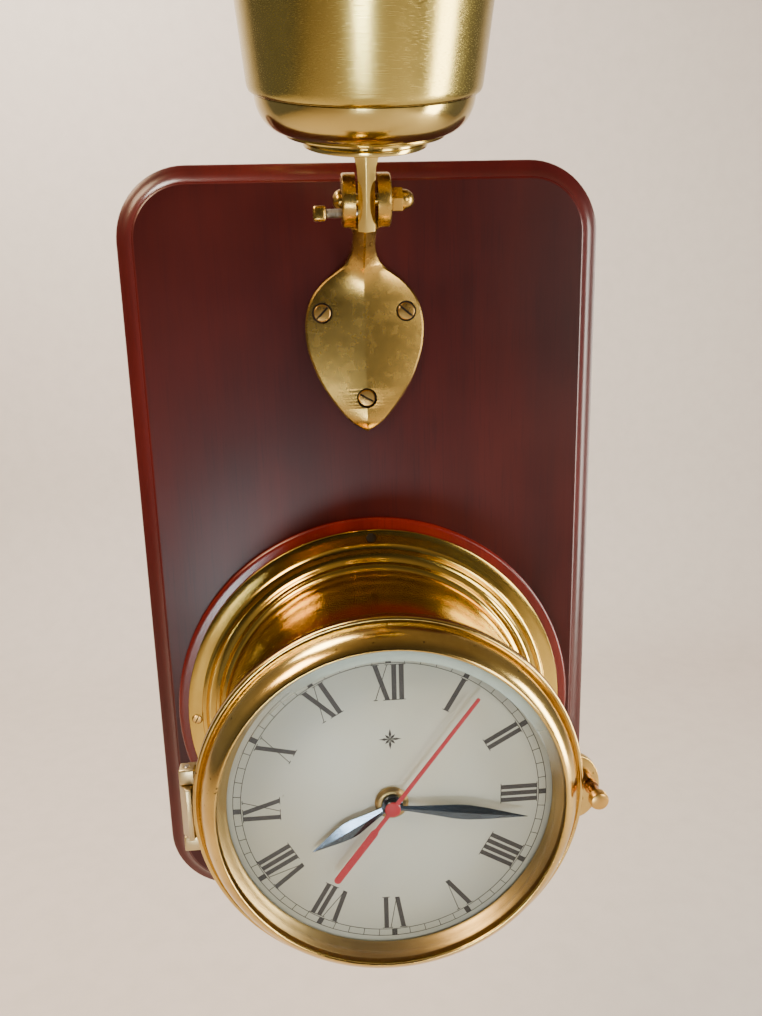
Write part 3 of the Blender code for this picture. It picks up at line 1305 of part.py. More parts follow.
def build_lamp(brass_finish, brushed, mirror, ceramic, glass, white_glass):
    """The tilting spot lamp: base, cable gland, can, reflector, lamp holder, bulb, lens and rim."""
    pivot = PIVOT @ Vector((0, 0, 0))
    low = BASE_BACK
    top = low + BASE_HEIGHT
    outer = base_profile()
    inner = []
    for radius, height in reversed(outer[5:]):
        inner.append((radius - SHELL_WALL, height))
    floor = low + FOOT_THICK + SHELL_WALL
    inner[-1] = (inner[-1][0], floor)
    base = add("lamp_base", turned([*outer, *inner, (0, floor)], LAMP), brass_finish, pivot)
    gland_h = low + BASE_HEIGHT * 0.62
    gland_place = LAMP @ Matrix.Translation((0, 0, gland_h)) @ Matrix.Rotation(math.radians(-90), 4, "X")
    gland_start = BASE_TOP_R - 12 * MM
    gland_hole = disc(GLAND_R * 0.75 + GAP, gland_start, BASE_TOP_R + PIERCE, gland_place, 16)
    boolean(base, "DIFFERENCE", [cutter("cut_gland_hole", gland_hole)])
    collar = BASE_TOP_R + GAP
    gland = (
        (GLAND_BORE_R, gland_start),
        (GLAND_R * 0.75, gland_start),
        (GLAND_R * 0.75, collar),
        (GLAND_R, collar),
        (GLAND_R, collar + GLAND_LENGTH * 0.35),
        (GLAND_R * 0.8, collar + GLAND_LENGTH * 0.5),
        (GLAND_BORE_R, collar + GLAND_LENGTH * 0.5),
    )
    add("cable_gland", turned(gland, gland_place, 16), brass_finish, pivot)
    body_low = BODY_BACK
    slope = (BODY_TOP_R - BODY_R) / BODY_HEIGHT
    skin = [
        (BODY_R - 2.6 * MM, body_low),
        (BODY_R - 1.2 * MM, body_low + 0.5 * MM),
        (BODY_R - 0.3 * MM, body_low + 1.7 * MM),
        (BODY_R, body_low + 3.4 * MM),
        (BODY_R + slope * BODY_HEIGHT * 0.5, body_low + BODY_HEIGHT * 0.5),
        (BODY_TOP_R, BODY_TOP),
    ]
    inside = [(radius - SHELL_WALL, max(height, body_low + SHELL_WALL)) for radius, height in reversed(skin[2:])]
    body = [(12 * MM, body_low), *skin, *inside, (12 * MM, body_low + SHELL_WALL)]
    add("lamp_body", turned(body, LAMP), brushed, pivot)
    socket_low = body_low + SHELL_WALL + GAP
    socket_top = socket_low + SOCKET_HEIGHT
    socket = (
        (0, socket_low),
        (SOCKET_R, socket_low),
        (SOCKET_R, socket_top - 3 * MM),
        (SOCKET_R - 2 * MM, socket_top),
        (BULB_NECK_R + GAP, socket_top),
        (BULB_NECK_R + GAP, socket_low + 4 * MM),
        (0, socket_low + 4 * MM),
    )
    add("lamp_holder", turned(socket, LAMP, 24), ceramic, pivot)
    neck_low = socket_low + 4 * MM + GAP
    bulb_centre = socket_top + BULB_R + 1 * MM
    bulb = [(0, neck_low), (BULB_NECK_R, neck_low), (BULB_NECK_R, socket_top + 1 * MM)]
    for angle in (-40, -15, 10, 35, 60):
        bulb.append(
            (BULB_R * math.cos(math.radians(angle)), bulb_centre + BULB_R * math.sin(math.radians(angle)))
        )
    bulb.append((0, bulb_centre + BULB_R))
    add("bulb", turned(bulb, LAMP, 24), white_glass, pivot)
    lens_top = BODY_TOP + RIM_HEIGHT - 1.5 * MM - GAP
    lens_low = lens_top - LENS_THICK
    mouth = BODY_TOP_R - SHELL_WALL - 2 * MM
    reflector = []
    rings = ((0.0, 0.0), (0.35, 0.12), (0.65, 0.35), (0.87, 0.65), (1.0, 1.0))
    reflector_low = socket_top - 2 * MM
    reflector_high = BODY_TOP - 1 * MM
    for across, up in rings:
        radius = REFLECTOR_NECK_R + (mouth - REFLECTOR_NECK_R) * across
        reflector.append((radius, reflector_low + (reflector_high - reflector_low) * up))
    back = [(radius, height - REFLECTOR_WALL) for radius, height in reversed(reflector[:-1])]
    outer_lip = (mouth + REFLECTOR_WALL, reflector_high)
    add("reflector", turned([*reflector, outer_lip, *back], LAMP), mirror, pivot)
    lens_r = BODY_TOP_R - 0.5 * MM
    add("lamp_lens", disc(lens_r, lens_low, lens_top, LAMP), glass, pivot)
    rim_r = BODY_TOP_R + RIM_PROUD
    rim_low = BODY_TOP - 4 * MM
    rim_top = BODY_TOP + RIM_HEIGHT
    rim = (
        (BODY_TOP_R + GAP, rim_low),
        (rim_r - 0.4 * MM, rim_low),
        (rim_r, rim_low + 0.6 * MM),
        (rim_r, rim_top - 1.2 * MM),
        (rim_r - 0.8 * MM, rim_top - 0.3 * MM),
        (rim_r - 2 * MM, rim_top),
        (lens_r - 4 * MM, rim_top),
        (lens_r - 4 * MM, lens_top + GAP),
        (BODY_TOP_R + GAP, lens_top + GAP),
    )
    add("lamp_rim", turned(rim, LAMP), brass_finish, pivot)


def main():
    for item in list(bpy.data.objects):
        bpy.data.objects.remove(item, do_unlink=True)
    brass = material("brass", (0.70, 0.47, 0.16), 0.18, 1.0)
    brushed = material("brushed_brass", (0.55, 0.46, 0.22), 0.35, 1.0)
    mahogany = material("mahogany", (0.11, 0.035, 0.022), 0.35)
    pad_wood = material("pad_mahogany", (0.20, 0.02, 0.015), 0.25)
    steel = material("steel", (0.55, 0.55, 0.56), 0.35, 1.0)
    silvered = material("silvered_dial", (0.55, 0.57, 0.53), 0.5)
    dark = material("blued_black", (0.02, 0.02, 0.022), 0.35)
    red = material("red_lacquer", (0.50, 0.03, 0.06), 0.4)
    glass = material("clear_glass", (0.9, 0.95, 0.95), 0.02, 0.0, 1.0)
    plastic = material("movement_plastic", (0.03, 0.03, 0.03), 0.5)
    build_board(mahogany)
    build_pad(pad_wood)
    build_hangers(steel, steel)
    build_case(brass)
    build_flange_screws(brass)
    build_dial(silvered, brass)
    build_bezel(brass)
    build_glass(glass, brass)
    build_hinge(brass, steel)
    build_latch(brass)
    build_hands(dark, red, brass)
    build_movement(
        plastic,
        material("cell_wrap", (0.75, 0.52, 0.10), 0.4),
        steel,
        material("circuit_green", (0.02, 0.18, 0.07), 0.5),
        material("copper_wire", (0.72, 0.32, 0.16), 0.35, 1.0),
        brass,
        dark,
    )
    build_bracket(brass)
    build_bracket_fastenings(brass)
    build_lamp_arm(brass)
    build_lamp(
        brass,
        brushed,
        material("reflector_aluminium", (0.85, 0.85, 0.85), 0.15, 1.0),
        material("holder_porcelain", (0.85, 0.83, 0.78), 0.3),
        glass,
        material("bulb_glass", (0.9, 0.9, 0.85), 0.3),
    )


main()
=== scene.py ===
"""A ship's deck clock on a mahogany board, with a tilting brass lamp on a leaf-shaped bracket above it.

Most pieces are drawn in face coordinates: x to the viewer's right, y up the board and z out from
the board's front. The lamp's are drawn about its own axis, with z running from the pivot to the lens.
"""

import json
import logging
import math
from dataclasses import dataclass
from enum import Enum
from functools import cache
from typing import Any, Iterable, Sequence

import bmesh
import bpy
from mathutils import Matrix, Vector


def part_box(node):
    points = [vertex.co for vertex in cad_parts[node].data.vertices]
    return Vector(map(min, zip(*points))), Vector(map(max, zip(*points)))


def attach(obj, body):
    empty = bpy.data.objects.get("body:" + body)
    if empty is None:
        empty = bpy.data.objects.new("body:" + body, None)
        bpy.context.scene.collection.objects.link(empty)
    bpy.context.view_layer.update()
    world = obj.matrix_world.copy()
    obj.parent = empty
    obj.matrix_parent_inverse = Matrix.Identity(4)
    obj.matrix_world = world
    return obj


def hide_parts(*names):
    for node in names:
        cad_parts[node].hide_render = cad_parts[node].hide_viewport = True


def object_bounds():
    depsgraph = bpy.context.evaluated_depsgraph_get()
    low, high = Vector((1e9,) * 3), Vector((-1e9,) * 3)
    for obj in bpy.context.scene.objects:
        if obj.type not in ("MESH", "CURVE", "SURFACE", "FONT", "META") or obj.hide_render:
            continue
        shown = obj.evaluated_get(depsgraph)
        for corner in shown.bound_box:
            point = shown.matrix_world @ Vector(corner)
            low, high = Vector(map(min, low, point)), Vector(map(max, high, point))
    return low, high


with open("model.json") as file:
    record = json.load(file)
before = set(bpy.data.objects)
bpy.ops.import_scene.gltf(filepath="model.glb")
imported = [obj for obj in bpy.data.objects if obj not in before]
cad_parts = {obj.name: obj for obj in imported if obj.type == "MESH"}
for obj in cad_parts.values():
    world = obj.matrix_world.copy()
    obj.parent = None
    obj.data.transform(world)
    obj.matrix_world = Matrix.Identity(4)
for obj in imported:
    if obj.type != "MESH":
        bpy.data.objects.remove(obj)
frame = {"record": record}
CAD_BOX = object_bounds()

LOG = logging.getLogger("deck_clock")
MM = 0.001
LATHE_LINES = 4000  # scale of the lines that a lathe leaves
BOLT_BORE = 2.8 * MM  # the hole for the pivot bolt, through the fork, the lamp's arm and the nut
ROUND_EDGES = {"segments": 3, "profile": 0.5, "affect": "EDGES", "material": -1}
Pair = tuple[float, float]
Color = tuple[float, float, float]
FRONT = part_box("backboard")[0].y
FACE = Matrix.Translation((0, FRONT, 0)) @ Matrix.Rotation(math.radians(90), 4, "X")
ACROSS = Matrix.Rotation(math.radians(90), 4, "Y")
RAISE = Matrix.Rotation(math.radians(-90), 4, "X")


class Body(Enum):
    """The moving groups that a piece can ride on."""

    BOARD = "board_and_case"
    BEZEL = "bezel"
    THUMB = "thumb_screw_body"
    SECONDS = "seconds"
    MINUTES = "minutes"
    HOURS = "hours"
    LAMP = "lamp"
    CLAMP = "clamp"


class Grain(Enum):
    """How a metal surface was worked, which sets the run of its fine lines."""

    TURNED = "turned about the clock's axis"
    LAMP_TURNED = "turned about an upright axis through the lamp's pivot"
    CAST = "cast and hand polished"
    DRAWN = "drawn lengthwise"


@dataclass(frozen=True)
class Span:
    """The room that a CAD node takes up, in face coordinates."""

    left: float
    right: float
    bottom: float
    top: float
    low: float
    high: float

    @classmethod
    def of(cls, node: str) -> "Span":
        """Reads a node's box.

        Args:
            node: the CAD node's name.

        Returns:
            Its extent across, up and out from the board's front.
        """
        low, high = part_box(node)
        return cls(low.x, high.x, low.z, high.z, FRONT - high.y, FRONT - low.y)

    @property
    def centre(self) -> Pair:
        """The middle of the extent across and up."""
        return ((self.left + self.right) / 2, (self.bottom + self.top) / 2)

    @property
    def radius(self) -> float:
        """Half of the extent up, which is the radius of a round node."""
        return (self.top - self.bottom) / 2


def joint_point(name: str) -> Vector:
    """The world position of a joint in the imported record."""
    joints = frame["record"]["behaviour"]["joints"]
    return Vector(next(joint["pos_m"] for joint in joints if joint["name"] == name))


PIVOT = Matrix.Translation(joint_point("lamp_tilt")) @ Matrix.Rotation(math.radians(90), 4, "X")


class Shader:
    """A Principled material while its nodes are being laid out."""

    def __init__(self, name: str, roughness: float, metallic: float = 0.0) -> None:
        """Starts a material.

        Args:
            name: the material's name.
            roughness: the roughness where no pattern changes it.
            metallic: 1 for bare metal.
        """
        self.material = bpy.data.materials.new(name)
        self.material.use_nodes = True
        self.nodes = self.material.node_tree.nodes
        self.links = self.material.node_tree.links
        self.body = self.nodes["Principled BSDF"]
        self.set("Roughness", roughness)
        self.set("Metallic", metallic)

    def set(self, socket: str, value: Any) -> None:
        """Gives one of the shader's sockets a value or a link."""
        self._fill(self.body, socket, value)

    def _fill(self, node: bpy.types.Node, socket: str | int, value: Any) -> None:
        """Links a socket or sets its value."""
        if isinstance(value, bpy.types.NodeSocket):
            self.links.new(value, node.inputs[socket])
        elif isinstance(value, tuple) and len(value) == 3 and node.inputs[socket].type == "RGBA":
            node.inputs[socket].default_value = (*value, 1.0)
        else:
            node.inputs[socket].default_value = value

    def node(self, kind: str, inputs: dict[str | int, Any], **settings: Any) -> bpy.types.Node:
        """Adds a node.

        Args:
            kind: the node's type, without its ShaderNode prefix.
            inputs: values or sockets for its inputs.
            settings: its own options.

        Returns:
            The new node.
        """
        made = self.nodes.new(f"ShaderNode{kind}")
        for option, value in settings.items():
            setattr(made, option, value)
        for socket, value in inputs.items():
            self._fill(made, socket, value)
        return made

    def place(self, scale: Sequence[float], turn: Sequence[float] = (0, 0, 0)) -> bpy.types.NodeSocket:
        """Object coordinates in metres, scaled and turned."""
        at = self.node("TexCoord", {}).outputs["Object"]
        return self.node("Mapping", {0: at, "Scale": tuple(scale), "Rotation": tuple(turn)}).outputs[0]

    def round_about(self, centre: Vector, turn: float, scale: float) -> bpy.types.NodeSocket:
        """Coordinates that change only with radius and height, for the lines that a lathe leaves.

        Args:
            centre: a point on the axis, in metres.
            turn: how far the axis leans from the clock's, in radians.
            scale: how fine the pattern is over the radius and along the axis.

        Returns:
            The vector to sample a noise with.
        """
        at = self.node("TexCoord", {}).outputs["Object"]
        moved = self.node("VectorMath", {0: at, 1: tuple(-centre)}, operation="ADD").outputs[0]
        about = {"Vector": moved, "Angle": turn}
        turned = self.node("VectorRotate", about, rotation_type="X_AXIS").outputs[0]
        flat = self.node("VectorMath", {0: turned, 1: (1, 0, 1)}, operation="MULTIPLY").outputs[0]
        radius = self.node("VectorMath", {0: flat}, operation="LENGTH").outputs["Value"]
        height = self.node("SeparateXYZ", {0: turned}).outputs["Y"]
        wide = self.node("Math", {0: radius, 1: scale}, operation="MULTIPLY").outputs[0]
        tall = self.node("Math", {0: height, 1: scale}, operation="MULTIPLY").outputs[0]
        return self.node("CombineXYZ", {"X": wide, "Y": tall}).outputs[0]

    def noise(self, vector: Any, scale: float, detail: float, rough: float) -> bpy.types.NodeSocket:
        """Fractal noise between 0 and 1."""
        made = self.node("TexNoise", {"Vector": vector, "Scale": scale, "Detail": detail, "Roughness": rough})
        return made.outputs["Fac"]

    def remap(
        self, value: Any, low: float, high: float, to_low: float, to_high: float
    ) -> bpy.types.NodeSocket:
        """Stretches a value's range, clamped at both ends."""
        inputs = {0: value, 1: low, 2: high, 3: to_low, 4: to_high}
        return self.node("MapRange", inputs).outputs[0]

    def mix(self, amount: Any, first: Any, second: Any) -> bpy.types.NodeSocket:
        """Mixes two colours."""
        made = self.node("Mix", {0: amount}, data_type="RGBA")
        self._fill(made, 6, first)
        self._fill(made, 7, second)
        return made.outputs[2]

    def bump(self, height: Any, strength: float, distance: float, under: Any = None) -> bpy.types.NodeSocket:
        """Turns a height pattern into a normal, over another one if given."""
        made = self.node("Bump", {"Height": height, "Strength": strength, "Distance": distance})
        if under is not None:
            self._fill(made, "Normal", under)
        return made.outputs[0]


@dataclass(frozen=True)
class Finish:
    """What a surface is made of. Each kind lays out its own nodes."""

    name: str
    color: Color
    roughness: float

    def shader(self) -> Shader:
        """Lays out the material's nodes."""
        raise NotImplementedError

    @cache
    def material(self) -> bpy.types.Material:
        """The finished material, made once."""
        return self.shader().material


@dataclass(frozen=True)
class Metal(Finish):
    """Bare metal with tarnish, dark specks and the lines of its working."""

    tarnish: Color = (0.20, 0.10, 0.03)
    patina: float = 0.35
    specks: float = 0.0
    lines: float = 0.25
    grain: Grain = Grain.CAST

    def _line_vector(self, made: Shader) -> bpy.types.NodeSocket:
        """Coordinates that stretch a noise along the way the metal was worked."""
        if self.grain is Grain.TURNED:
            return made.round_about(Vector((0, 0, 0)), 0.0, LATHE_LINES)
        if self.grain is Grain.LAMP_TURNED:
            return made.round_about(joint_point("lamp_tilt"), math.radians(90), LATHE_LINES)
        if self.grain is Grain.DRAWN:
            return made.place((1500, 1500, 60))
        return made.place((260, 260, 260))

    def shader(self) -> Shader:
        """Tarnish in broad clouds, specks on top, fine working lines in the roughness and the bump."""
        made = Shader(self.name, self.roughness, 1.0)
        still = made.place((1, 1, 1))
        clouds = made.noise(still, 28, 6, 0.62)
        fine = made.noise(still, 190, 5, 0.6)
        lines = made.noise(self._line_vector(made), 1.0, 2, 0.5)
        stain = made.remap(clouds, 0.42, 0.72, 0.0, self.patina)
        color = made.mix(stain, self.color, self.tarnish)
        bright = tuple(min(1.0, part * 1.12) for part in self.color)
        color = made.mix(made.remap(fine, 0.35, 0.8, 0.0, 0.35), color, bright)
        if self.specks:
            spots = made.noise(still, 420, 2, 0.5)
            color = made.mix(made.remap(spots, 0.69, 0.76, 0.0, self.specks), color, (0.05, 0.022, 0.008))
        made.set("Base Color", color)
        worn = made.remap(fine, 0.25, 0.75, self.roughness * 0.94, self.roughness * 1.08)
        lined = made.remap(lines, 0.3, 0.7, -0.04 * self.lines, 0.06 * self.lines)
        made.set("Roughness", made.node("Math", {0: worn, 1: lined}, operation="ADD").outputs[0])
        under = made.bump(clouds, 0.05, 0.0006)
        made.set("Normal", made.bump(lines, 0.10 * self.lines, 0.00006, under))
        return made


@dataclass(frozen=True)
class Timber(Finish):
    """Polished mahogany, its grain running up the board."""

    dark: Color = (0.02, 0.004, 0.004)
    gloss: float = 0.5

    def shader(self) -> Shader:
        """Long figure, dark pores, a worn polish and a clear coat."""
        made = Shader(self.name, self.roughness)
        figure = made.noise(made.place((46, 46, 3.5)), 1.0, 6, 0.6)
        pores = made.noise(made.place((950, 950, 34)), 1.0, 3, 0.6)
        clouds = made.noise(made.place((1, 1, 1)), 9, 3, 0.5)
        color = made.mix(made.remap(figure, 0.3, 0.72, 0.0, 1.0), self.dark, self.color)
        color = made.mix(made.remap(pores, 0.52, 0.7, 0.0, 0.6), color, self.dark)
        warm = tuple(min(1.0, part * 1.5) for part in self.color)
        color = made.mix(made.remap(clouds, 0.45, 0.75, 0.0, 0.5), color, warm)
        made.set("Base Color", color)
        made.set("Roughness", made.remap(clouds, 0.3, 0.7, self.roughness * 0.85, self.roughness * 1.2))
        made.set("Normal", made.bump(pores, 0.06, 0.0002))
        made.set("Specular IOR Level", 0.22)
        made.set("Coat Weight", self.gloss)
        made.set("Coat Roughness", 0.22)
        return made


@dataclass(frozen=True)
class Coating(Finish):
    """Paint, lacquer, print or moulded plastic, with a faint mottle and a fine surface."""

    metallic: float = 0.0
    mottle: float = 0.15
    texture: float = 0.05
    scale: float = 300.0

    def shader(self) -> Shader:
        """Slight changes of tone and roughness with a fine bump."""
        made = Shader(self.name, self.roughness, self.metallic)
        still = made.place((1, 1, 1))
        broad = made.noise(still, 45, 5, 0.55)
        fine = made.noise(still, self.scale * 4, 3, 0.5)
        shade = tuple(part * 0.72 for part in self.color)
        made.set("Base Color", made.mix(made.remap(broad, 0.4, 0.8, 0.0, self.mottle * 2), self.color, shade))
        made.set("Roughness", made.remap(fine, 0.3, 0.7, self.roughness * 0.9, self.roughness * 1.15))
        made.set("Normal", made.bump(fine, self.texture, 0.00005))
        return made


@dataclass(frozen=True)
class Silvering(Finish):
    """A silvered dial: faintly metallic, warmer in places and spotted with age."""

    def shader(self) -> Shader:
        """A satin sheet with soft clouds and sparse foxing."""
        made = Shader(self.name, self.roughness, 0.15)
        still = made.place((1, 1, 1))
        clouds = made.noise(still, 22, 4, 0.5)
        foxing = made.noise(still, 260, 2, 0.5)
        warm = (self.color[0] * 0.97, self.color[1] * 0.93, self.color[2] * 0.84)
        color = made.mix(made.remap(clouds, 0.4, 0.7, 0.0, 0.8), self.color, warm)
        color = made.mix(made.remap(foxing, 0.77, 0.80, 0.0, 0.8), color, (0.12, 0.10, 0.07))
        made.set("Base Color", color)
        made.set("Roughness", made.remap(clouds, 0.3, 0.7, self.roughness * 0.9, self.roughness * 1.1))
        made.set("Normal", made.bump(made.noise(still, 1400, 3, 0.5), 0.03, 0.00003))
        return made


@dataclass(frozen=True)
class Pane(Finish):
    """Clear glass that lets light straight through and keeps a surface gloss."""

    alpha: float = 0.06

    def shader(self) -> Shader:
        """A thin gloss with faint smears."""
        made = Shader(self.name, self.roughness)
        made.set("Base Color", self.color)
        smears = made.noise(made.place((1, 1, 1)), 30, 5, 0.6)
        made.set("Roughness", made.remap(smears, 0.45, 0.8, self.roughness, self.roughness + 0.08))
        made.set("Alpha", made.remap(smears, 0.3, 0.9, self.alpha, self.alpha * 1.35))
        return made


@dataclass(frozen=True)
class BevelledPane(Pane):
    """The glass's bevelled edge, with a painted reflection: pale at the top and faintly brown at the bottom.
    """

    # the colour of the painted reflection at the bottom of the bevel
    low: Color = (0.20, 0.12, 0.05)

    def shader(self) -> Shader:
        """Paints a reflection that fades from a pale band at the top to a faint brown one at the bottom."""
        made = Shader(self.name, self.roughness)
        at = made.node("SeparateXYZ", {0: made.place((1, 1, 1), (0, math.radians(-14), 0))})
        # height on the glass: the painted reflection is pale above and brown below, and the glass thins
        # towards the bottom
        up = made.remap(at.outputs["Z"], 0.020, 0.055, 0.0, 1.0)
        made.set("Base Color", made.mix(up, self.low, self.color))
        streaks = made.noise(made.place((60, 60, 60)), 1.0, 4, 0.6)
        veil = made.remap(streaks, 0.3, 0.7, self.alpha * 0.85, self.alpha * 1.1)
        thin = made.node("Math", {0: up, 1: veil}, operation="MULTIPLY").outputs[0]
        made.set("Alpha", made.node("Math", {0: thin, 1: 0.10}, operation="MAXIMUM").outputs[0])
        return made


@dataclass(frozen=True)
class Palette:
    """Every finish on the clock, the board and the lamp."""

    case: Finish = Metal(
        "case_brass", (0.72, 0.51, 0.12), 0.15, (0.34, 0.18, 0.04), 0.4, 0.15, 0.5, Grain.TURNED
    )
    bezel: Finish = Metal(
        "bezel_brass", (0.66, 0.47, 0.15), 0.17, (0.32, 0.17, 0.05), 0.6, 0.85, 0.6, Grain.TURNED
    )
    rehaut: Finish = Metal(
        "ring_brass", (0.42, 0.31, 0.12), 0.34, (0.20, 0.12, 0.04), 0.5, 0.2, 0.8, Grain.TURNED
    )
    fitting: Finish = Metal("fitting_brass", (0.52, 0.42, 0.22), 0.33, (0.25, 0.17, 0.08), 0.5, 0.3, 0.3)
    screw: Finish = Metal("screw_brass", (0.58, 0.35, 0.10), 0.28, (0.20, 0.10, 0.03), 0.4, 0.0, 0.3)
    copper: Finish = Metal("thumb_copper", (0.55, 0.27, 0.12), 0.27, (0.16, 0.07, 0.03), 0.6, 0.3, 0.5)
    bracket: Finish = Metal("bracket_brass", (0.42, 0.27, 0.07), 0.26, (0.26, 0.16, 0.05), 0.06, 0.0, 0.3)
    lamp: Finish = Metal(
        "lamp_brass", (0.52, 0.40, 0.13), 0.15, (0.26, 0.18, 0.06), 0.2, 0.1, 0.4, Grain.LAMP_TURNED
    )
    brushed: Finish = Metal(
        "brushed_lamp_brass", (0.44, 0.35, 0.10), 0.20, (0.30, 0.22, 0.06), 0.15, 0.0, 1.6, Grain.LAMP_TURNED
    )
    pin: Finish = Metal("pin_steel", (0.42, 0.41, 0.38), 0.34, (0.15, 0.13, 0.11), 0.5, 0.2, 0.5, Grain.DRAWN)
    steel: Finish = Metal(
        "hanger_steel", (0.58, 0.58, 0.60), 0.33, (0.32, 0.31, 0.30), 0.5, 0.1, 0.5, Grain.DRAWN
    )
    foil: Finish = Metal("reflector_aluminium", (0.88, 0.88, 0.89), 0.12, (0.62, 0.62, 0.62), 0.3, 0.0, 0.3)
    copper_wire: Finish = Metal(
        "copper_wire", (0.72, 0.32, 0.14), 0.3, (0.35, 0.12, 0.05), 0.4, 0.0, 1.0, Grain.DRAWN
    )
    magnet: Finish = Metal("magnet_grey", (0.12, 0.12, 0.13), 0.45, (0.05, 0.05, 0.05), 0.4, 0.1, 0.3)
    board: Finish = Timber("mahogany", (0.050, 0.0055, 0.0045), 0.34, (0.020, 0.0030, 0.0036), 0.04)
    # a lighter, redder copy of the board's mahogany for the moulded edge: painted light where light falls on
    # the edge
    moulding: Finish = Timber("moulding_mahogany_painted_light", (0.085, 0.0075, 0.0065), 0.30, (0.036, 0.004, 0.004), 0.35)
    pad: Finish = Timber("pad_mahogany", (0.15, 0.0085, 0.004), 0.22, (0.07, 0.004, 0.003), 0.6)
    dial: Finish = Silvering("silvered_dial", (0.60, 0.66, 0.60), 0.48)
    ink: Finish = Coating("dial_ink", (0.035, 0.034, 0.034), 0.5)
    black: Finish = Coating("black_hands", (0.10, 0.14, 0.19), 0.17, 1.0, 0.1, 0.03)
    red: Finish = Coating("red_lacquer", (0.40, 0.008, 0.022), 0.45, 0.0, 0.2, 0.04)
    glass: Finish = Pane("clear_glass", (0.05, 0.06, 0.06), 0.03)
    glass_edge_painted_reflection: Finish = BevelledPane("glass_bevel", (0.50, 0.64, 0.62), 0.10, 0.62)
    shadow: Finish = Coating("hole_shadow", (0.012, 0.008, 0.006), 0.8)
    plastic: Finish = Coating("black_plastic", (0.022, 0.022, 0.024), 0.48, 0.0, 0.2, 0.12)
    acetal: Finish = Coating("white_acetal", (0.70, 0.69, 0.63), 0.4, 0.0, 0.1, 0.05)
    wrap: Finish = Coating("cell_wrap", (0.62, 0.40, 0.07), 0.35, 0.3, 0.2, 0.02)
    circuit: Finish = Coating("circuit_green", (0.015, 0.13, 0.05), 0.35, 0.0, 0.4, 0.2, 120)
    porcelain: Finish = Coating("porcelain", (0.80, 0.78, 0.72), 0.22, 0.0, 0.1, 0.02)
    opal: Finish = Coating("opal_glass", (0.86, 0.85, 0.80), 0.25, 0.0, 0.08, 0.01)
    plaster: Finish = Coating("wall_plaster", (0.70, 0.65, 0.61), 0.9, 0.0, 0.12, 0.25, 40)


FINISH = Palette()


